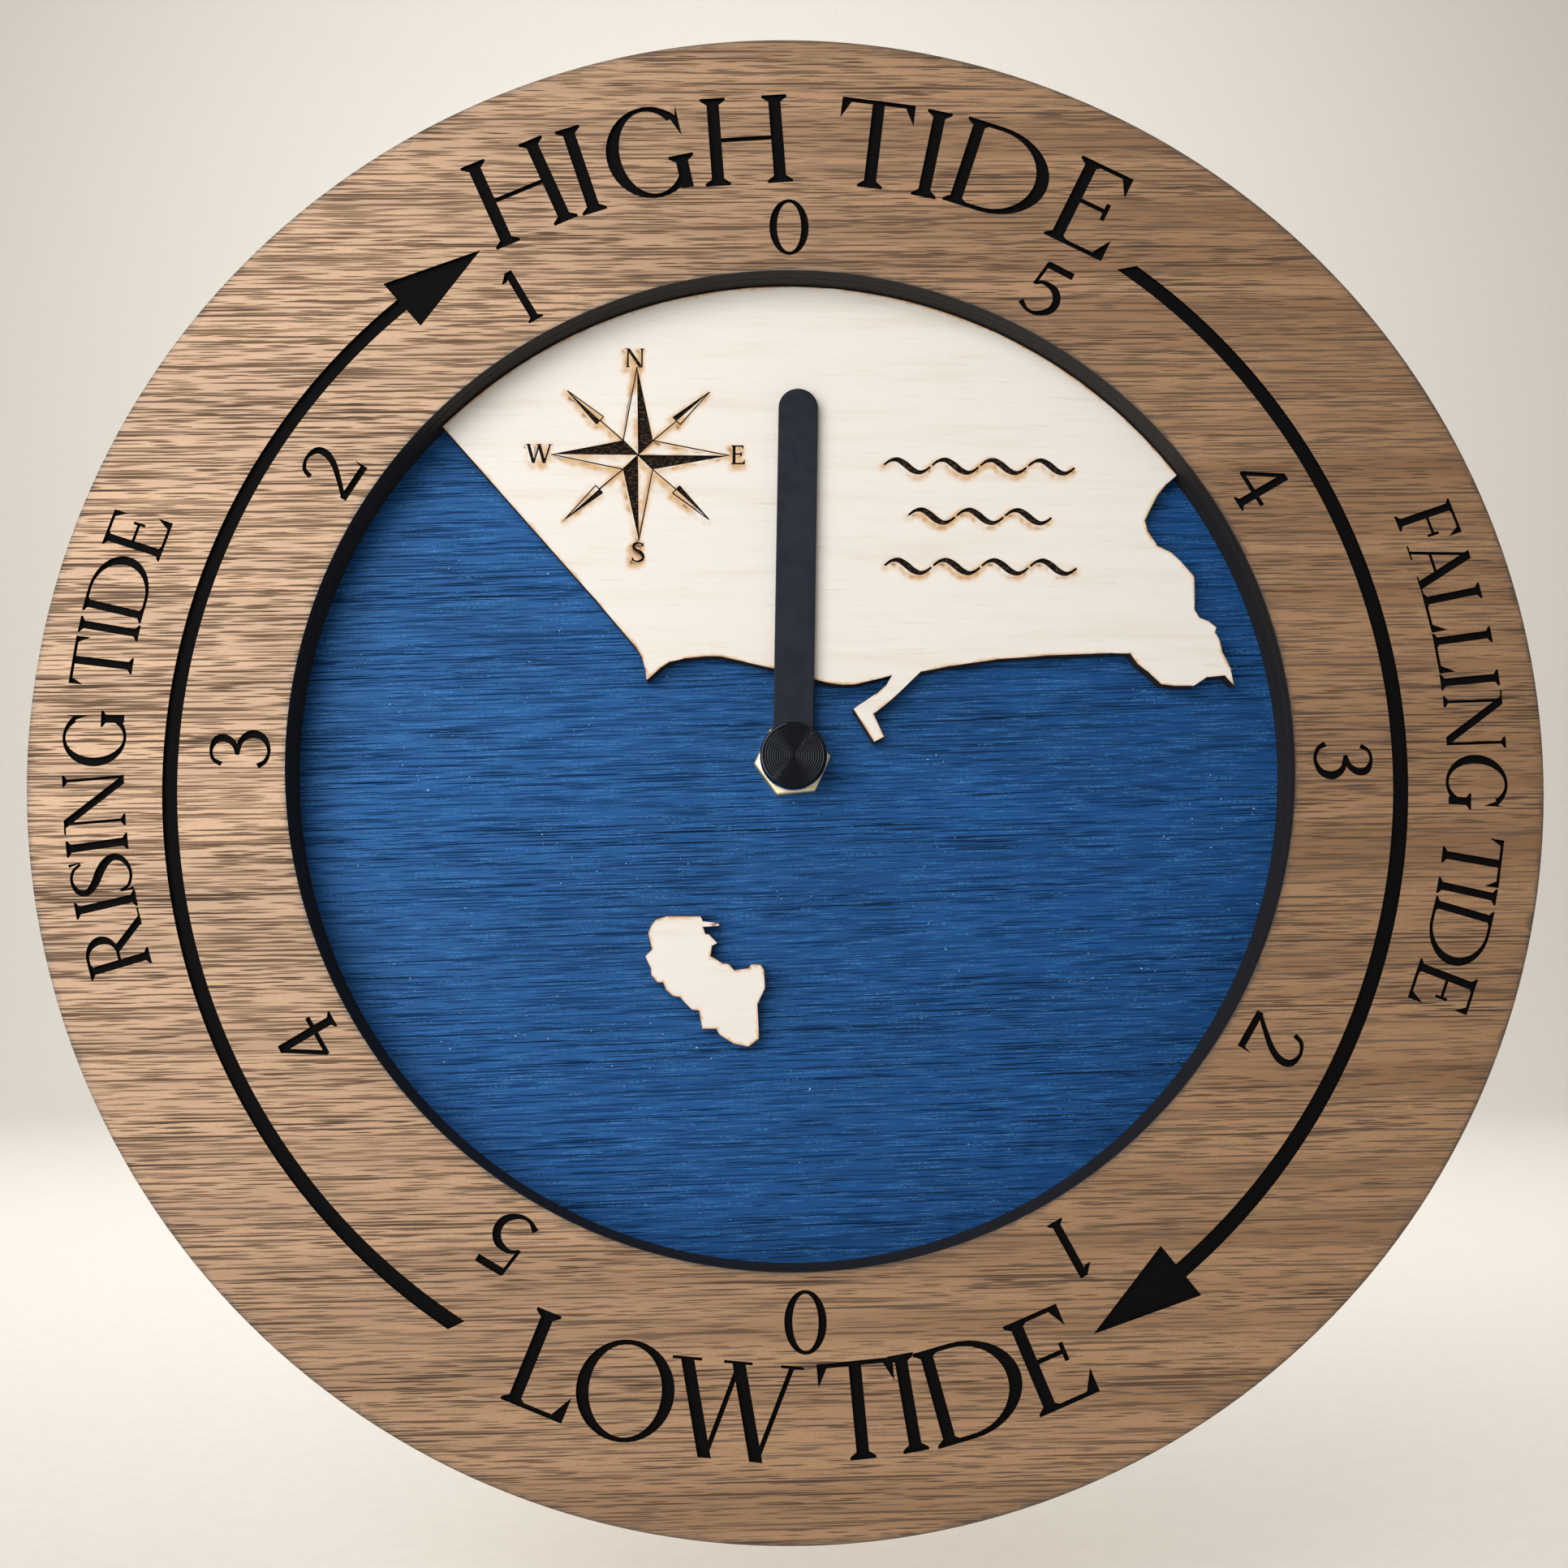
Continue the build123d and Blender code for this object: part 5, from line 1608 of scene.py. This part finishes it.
def grown(name: str, tree: bpy.types.NodeTree, sizes: dict[str, Any]) -> bpy.types.Mesh:
    """Turn a Geometry Nodes tree into a plain mesh.

    Args:
        name: Name of the mesh.
        tree: The tree.
        sizes: Values of its inputs by name.

    Returns:
        The evaluated mesh.
    """
    seed = bpy.data.objects.new(name, bpy.data.meshes.new(name + "_seed"))
    bpy.context.scene.collection.objects.link(seed)
    modifier = seed.modifiers.new(name, "NODES")
    modifier.node_group = tree
    for item in tree.interface.items_tree:
        if item.item_type == "SOCKET" and item.in_out == "INPUT":
            modifier[item.identifier] = sizes[item.name]
    depsgraph = bpy.context.evaluated_depsgraph_get()
    mesh = bpy.data.meshes.new_from_object(seed.evaluated_get(depsgraph), depsgraph=depsgraph)
    seed.modifiers.remove(modifier)
    bpy.data.objects.remove(seed)
    return mesh


def joined(name: str, meshes: Sequence[bpy.types.Mesh]) -> bpy.types.Mesh:
    """Join meshes into one.

    Args:
        name: Name of the new mesh.
        meshes: Meshes with one material each, in place.

    Returns:
        The joined mesh.
    """
    shape = bmesh.new()
    for mesh in meshes:
        shape.from_mesh(mesh)
    whole = bpy.data.meshes.new(name)
    shape.to_mesh(whole)
    shape.free()
    whole.polygons.foreach_set("use_smooth", [True] * len(whole.polygons))
    whole.set_sharp_from_angle(angle=math.radians(35))
    return whole


@dataclass
class HandWork:
    """The hand, its cap, and the nut and bush that carry them.

    Attributes:
        edge: Rounding of the hand's cut edge in millimetres.
        groove_pitch: Distance between the cap's turned grooves in millimetres.
        groove_depth: Depth of a groove in millimetres.
        nut_edge: Rounding of the nut's edges in millimetres.
        thread_pitch: Pitch of the bush's thread in millimetres.
        thread_depth: Depth of the bush's thread in millimetres.
    """

    edge: float = 0.12
    groove_pitch: float = 0.38
    groove_depth: float = 0.028
    nut_edge: float = 0.12
    thread_pitch: float = 0.75
    thread_depth: float = 0.28

    def cap(self) -> bpy.types.Mesh:
        """Turn the cap with its fine grooves."""
        low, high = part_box("hand_cap")
        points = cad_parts["hand_cap"].data.vertices
        reaches = [
            (math.hypot(p.co.x - DIAL.across, p.co.z - DIAL.up), p.co.y) for p in points
        ]
        radius = max(reach for reach, _ in reaches) / MM
        socket = min(reach for reach, y in reaches if y > high.y - 0.01 * MM) / MM
        socket_end = min(y for reach, y in reaches if abs(reach / MM - socket) < 0.05)
        round_off = 0.35
        profile: list[tuple[float, float, int]] = [
            (0.0, socket_end, 0), (socket, socket_end, 0), (socket, high.y, 0), (radius - 0.1, high.y, 0),
            (radius, high.y - 0.1 * MM, 0),
        ]
        for turn in (0, 30, 60, 90):
            angle = math.radians(turn)
            profile.append((
                radius - round_off * (1 - math.cos(angle)), low.y + round_off * (1 - math.sin(angle)) * MM, 0
            ))
        reach = radius - round_off - self.groove_pitch / 2
        while reach > self.groove_pitch:
            for quarter, share in enumerate((0.0, 0.5, 1.0, 0.5)):
                profile.append((
                    reach - self.groove_pitch * quarter / 4, low.y + self.groove_depth * share * MM, 0
                ))
            reach -= self.groove_pitch
        profile.append((0.0, low.y, 0))
        return turned("hand_cap_turned", profile, 96)

    def bush(self) -> bpy.types.Mesh:
        """Make the bush as a plain core with a wound thread."""
        low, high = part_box("mount_bush")
        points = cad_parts["mount_bush"].data.vertices
        reaches = [(math.hypot(p.co.x - DIAL.across, p.co.z - DIAL.up) / MM, p.co.y) for p in points]
        flange = max(reach for reach, _ in reaches)
        bore = min(reach for reach, _ in reaches)
        barrel = max(reach for reach, y in reaches if y < low.y + 0.01 * MM)
        step = min(y for reach, y in reaches if reach > flange - 0.01)
        core = barrel - self.thread_depth
        profile = [
            (bore, high.y, 0), (bore, low.y, 0), (core, low.y, 0), (core, step, 0), (flange, step, 0),
            (flange, high.y, 0),
        ]
        length = DIAL.face - low.y
        turns = length / MM / self.thread_pitch - 1
        ridge = grown("mount_bush_thread", ThreadTree().build(), {
            "Radius": core * MM, "Pitch": self.thread_pitch * MM, "Turns": turns,
            "Depth": self.thread_depth * MM, "Finish": BRASS.material(),
        })
        for vertex in ridge.vertices:
            x, y, z = vertex.co
            vertex.co = (DIAL.across + x, low.y + self.thread_pitch / 2 * MM + z, DIAL.up + y)
        ridge.flip_normals()
        return joined("mount_bush_threaded", [turned("mount_bush_core", profile, 72), ridge])

    def build(self) -> None:
        """Build and dress the hand, its cap, the nut and the bush."""
        add_piece("tide_hand_rounded", softened("tide_hand", self.edge), [ANODISED], Body.HAND,
                  Slot.BLACK_ALUMINIUM, "tide_hand")
        add_piece("hand_cap_turned", self.cap(), [TURNED_BLACK], Body.CENTER, Slot.BLACK_ALUMINIUM, "hand_cap")
        add_piece("hex_nut_rounded", softened("hex_nut", self.nut_edge), [BRASS], Body.DIAL, Slot.BRASS, "hex_nut")
        add_piece("mount_bush_threaded", self.bush(), [BRASS], Body.DIAL, Slot.BRASS, "mount_bush")


@dataclass
class Movement:
    """The moulded case, its knob, the coil's wire, the chip's drop and the cell.

    Attributes:
        case_edge: Rounding of the case's edges in millimetres.
        knob_edge: Rounding of the knob's edges in millimetres.
        wire: Thickness of the wire in millimetres, drawn several times too thick so that it shows.
        sleeve_end: How far the cell's bare ends stand clear of its sleeve, in millimetres.
        band_share: Share of the sleeve's length in its dark band.
    """

    case_edge: float = 0.35
    knob_edge: float = 0.15
    wire: float = 0.32
    sleeve_end: float = 0.6
    band_share: float = 0.28

    def winding(self) -> bpy.types.Mesh:
        """Stack the coil's turns inside the room of the CAD winding."""
        low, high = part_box("coil_winding")
        middle = (low + high) / 2
        width = high.x - low.x - self.wire * MM
        turns = int((high.z - low.z) / (self.wire * MM))
        mesh = grown("coil_winding_turns", WindingTree().build(), {
            "Width": width, "Corner": width / 5, "Wire": self.wire * MM, "Turns": turns,
            "Finish": COPPER_WIRE.material(),
        })
        slack = (high.z - low.z - turns * self.wire * MM) / 2
        lift = low.z + slack + self.wire * MM / 2
        for vertex in mesh.vertices:
            vertex.co += Vector((middle.x, middle.y, lift))
        mesh.polygons.foreach_set("use_smooth", [True] * len(mesh.polygons))
        return mesh

    def drop(self) -> bpy.types.Mesh:
        """Make the chip's cast drop as a low dome."""
        low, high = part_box("chip_blob")
        centre = (low + high) / 2
        radius = (high.x - low.x) / 2
        shape = bmesh.new()
        rings = 8
        steps = 40
        rows = []
        for ring in range(rings):
            angle = math.pi / 2 * ring / rings
            reach = radius * math.cos(angle)
            y = low.y + (high.y - low.y) * math.sin(angle)
            rows.append([
                shape.verts.new((
                    centre.x + reach * math.cos(2 * math.pi * n / steps), y,
                    centre.z + reach * math.sin(2 * math.pi * n / steps),
                ))
                for n in range(steps)
            ])
        top = shape.verts.new((centre.x, high.y, centre.z))
        for lower, upper in zip(rows, rows[1:]):
            for n in range(steps):
                shape.faces.new((lower[n], lower[(n + 1) % steps], upper[(n + 1) % steps], upper[n]))
        for n in range(steps):
            shape.faces.new((rows[-1][n], rows[-1][(n + 1) % steps], top))
        shape.faces.new(rows[0])
        bmesh.ops.recalc_face_normals(shape, faces=shape.faces)
        mesh = bpy.data.meshes.new("chip_blob_domed")
        shape.to_mesh(mesh)
        shape.free()
        mesh.polygons.foreach_set("use_smooth", [True] * len(mesh.polygons))
        mesh.set_sharp_from_angle(angle=math.radians(50))
        return mesh

    def cell(self) -> bpy.types.Mesh:
        """Turn the cell with its sleeve, bare ends and raised contact."""
        low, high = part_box("battery_cell")
        centre = (low + high) / 2
        radius = (high.z - low.z) / 2
        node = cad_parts["battery_cell"].data
        nub = max(
            math.hypot(p.co.y - centre.y, p.co.z - centre.z) for p in node.vertices if p.co.x < low.x + 0.01 * MM
        )
        shoulder = min(
            p.co.x for p in node.vertices if math.hypot(p.co.y - centre.y, p.co.z - centre.z) > radius * 0.95
        )
        skin = 0.12 * MM
        lip = self.sleeve_end * MM
        band = shoulder + (high.x - shoulder) * self.band_share
        profile = [
            (0.0, low.x, 2), (nub - 0.3 * MM, low.x, 2), (nub, low.x + 0.3 * MM, 2), (nub, shoulder + skin * 2, 2),
            (radius * 0.72, shoulder + skin * 2, 1), (radius * 0.76, shoulder, 1), (radius - lip / 2, shoulder, 1),
            (radius, shoulder + lip / 2, 1), (radius, band, 0), (radius, high.x - lip / 2, 0),
            (radius - lip / 2, high.x, 0), (radius * 0.80, high.x, 0), (radius * 0.78, high.x - skin, 2),
            (radius * 0.30, high.x - skin, 2), (radius * 0.26, high.x - skin * 2, 2), (0.0, high.x - skin * 2, 2),
        ]
        steps = 72
        verts: list[Vector] = []
        faces: list[tuple[int, ...]] = []
        numbers: list[int] = []
        for step in range(steps):
            turn = 2 * math.pi * step / steps
            for reach, x, _ in profile:
                verts.append(Vector((x, centre.y + reach * math.cos(turn), centre.z + reach * math.sin(turn))))
        for step in range(steps):
            here = step * len(profile)
            there = (step + 1) % steps * len(profile)
            for corner in range(len(profile) - 1):
                faces.append((here + corner, there + corner, there + corner + 1, here + corner + 1))
                numbers.append(profile[corner][2])
        mesh = bpy.data.meshes.new("battery_cell_sleeved")
        mesh.from_pydata(verts, [], faces)
        mesh.polygons.foreach_set("material_index", numbers)
        tidy(mesh)
        return mesh

    def build(self) -> None:
        """Build and dress the movement's replaced pieces."""
        for node, edge in (("case_front", self.case_edge), ("case_rear", self.case_edge)):
            add_piece(node + "_rounded", softened(node, edge), [BLACK_ABS], Body.DIAL, Slot.BLACK_ABS, node)
        add_piece("set_knob_rounded", softened("set_knob", self.knob_edge), [BLACK_ABS], Body.SETTING,
                  Slot.BLACK_ABS, "set_knob")
        add_piece("coil_winding_turns", self.winding(), [COPPER_WIRE], Body.DIAL, Slot.COPPER_WIRE, "coil_winding")
        add_piece("chip_blob_domed", self.drop(), [EPOXY], Body.DIAL, Slot.EPOXY, "chip_blob")
        add_piece("battery_cell_sleeved", self.cell(), [SLEEVE, SLEEVE_BAND, NICKEL], Body.CELL,
                  Slot.CELL_JACKET, "battery_cell")


@dataclass
class Studio:
    """The pale floor and backdrop, the soft lights and the camera.

    Attributes:
        lens: Focal length in millimetres on a 36 mm sensor.
        eye: Camera's place from the ring's middle, as (across, up, towards the room), in millimetres.
        look: Camera's direction in the row frame.
        floor_drop: How far the floor lies under the clock, in metres.
        wall_gap: How far the backdrop stands behind the clock, in metres.
    """

    lens: float = 39.0
    eye: tuple[float, float, float] = (-8.40, -36.21, 266.5)
    look: tuple[float, float, float] = (0.0255, 0.9928, 0.1170)
    floor_drop: float = 0.02
    wall_gap: float = 1.6

    def sweep(self) -> None:
        """Make the floor and backdrop as one curved sheet."""
        # Matt paper, nearly white: no gloss
        paper = Moulded("pale paper sweep", "#e9e6e1", "#e6e3de", 0.9, 1.45, 60.0, 0.0)
        floor = CAD_BOX[0].z - self.floor_drop
        bend = 0.5
        profile = [(-2.5, floor)]
        for turn in range(0, 91, 10):
            angle = math.radians(turn)
            profile.append((self.wall_gap - bend + bend * math.sin(angle), floor + bend * (1 - math.cos(angle))))
        profile.append((self.wall_gap, floor + 2.6))
        half = 3.0
        verts = [(side, y, z) for y, z in profile for side in (-half, half)]
        faces = [(2 * n, 2 * n + 1, 2 * n + 3, 2 * n + 2) for n in range(len(profile) - 1)]
        mesh = bpy.data.meshes.new("paper_sweep")
        mesh.from_pydata(verts, [], faces)
        mesh.materials.append(paper.material())
        mesh.polygons.foreach_set("use_smooth", [True] * len(faces))
        sheet = bpy.data.objects.new("paper_sweep", mesh)
        bpy.context.scene.collection.objects.link(sheet)

    def lamp(self, name: str, place: Vector, aim: Vector, size: float, watts: float, colour: str) -> None:
        """Add a soft square light.

        Args:
            name: Name of the light.
            place: Where it stands, in metres.
            aim: The point it faces.
            size: Length of its side in metres.
            watts: Its power.
            colour: Its colour as a hex value.
        """
        light = bpy.data.lights.new(name, "AREA")
        light.size = size
        light.energy = watts
        light.color = linear(colour)[:3]
        stand = bpy.data.objects.new(name, light)
        stand.location = place
        stand.rotation_euler = (aim - place).to_track_quat("-Z", "Y").to_euler()
        bpy.context.scene.collection.objects.link(stand)

    def build(self) -> None:
        """Set up the sweep, the lights, the surroundings and the camera."""
        self.sweep()
        middle = Vector((DIAL.across, DIAL.front, DIAL.up))
        self.lamp("key", middle + Vector((-0.34, -0.53, 0.18)), middle, 0.6, 4.4, "#fffdfa")
        self.lamp("fill", middle + Vector((-0.1, -1.2, 0.35)), middle, 1.2, 1.2, "#fbfcff")
        self.lamp("glint", middle + Vector((0.18, -0.93, 0.315)), middle, 0.03, 0.08, "#fffdfa")
        self.lamp("rear", middle + Vector((0.4, 0.9, 0.9)), middle, 0.8, 1.2, "#fffdfa")
        self.lamp("backdrop", middle + Vector((-0.1, 0.25, 0.95)), middle + Vector((0.1, self.wall_gap, 0.45)),
                  1.2, 19.0, "#fffaf2")
        world = bpy.data.worlds.new("studio")
        world.use_nodes = True
        world.node_tree.nodes["Background"].inputs["Color"].default_value = linear("#f2f2f2")
        world.node_tree.nodes["Background"].inputs["Strength"].default_value = 0.22
        bpy.context.scene.world = world
        bpy.context.scene.view_settings.view_transform = "Standard"
        view = bpy.data.cameras.new("camera")
        view.lens = self.lens
        view.sensor_width = 36.0
        view.clip_start = 0.01
        camera = bpy.data.objects.new("camera", view)
        across, up, out = (length * MM for length in self.eye)
        camera.location = middle + Vector((across, -out, up))
        camera.rotation_euler = Vector(self.look).to_track_quat("-Z", "Y").to_euler()
        bpy.context.scene.collection.objects.link(camera)
        bpy.context.scene.camera = camera


def dress_carried_over() -> None:
    """Give each CAD node that keeps its mesh its finish."""
    for finish, nodes in CARRIED_OVER.items():
        for name in nodes:
            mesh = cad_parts[name].data
            mesh.materials.clear()
            mesh.materials.append(finish.material())
            LOG.info("%s: CAD mesh in %s", name, finish.name)


def main() -> None:
    """Build the clock's pieces in order, then the studio."""
    logging.basicConfig(level=logging.INFO, format="%(name)s %(message)s")
    DialRings().build()
    MapOverlays().build()
    HandWork().build()
    Movement().build()
    dress_carried_over()
    Studio().build()


if __name__ == "__main__":
    main()
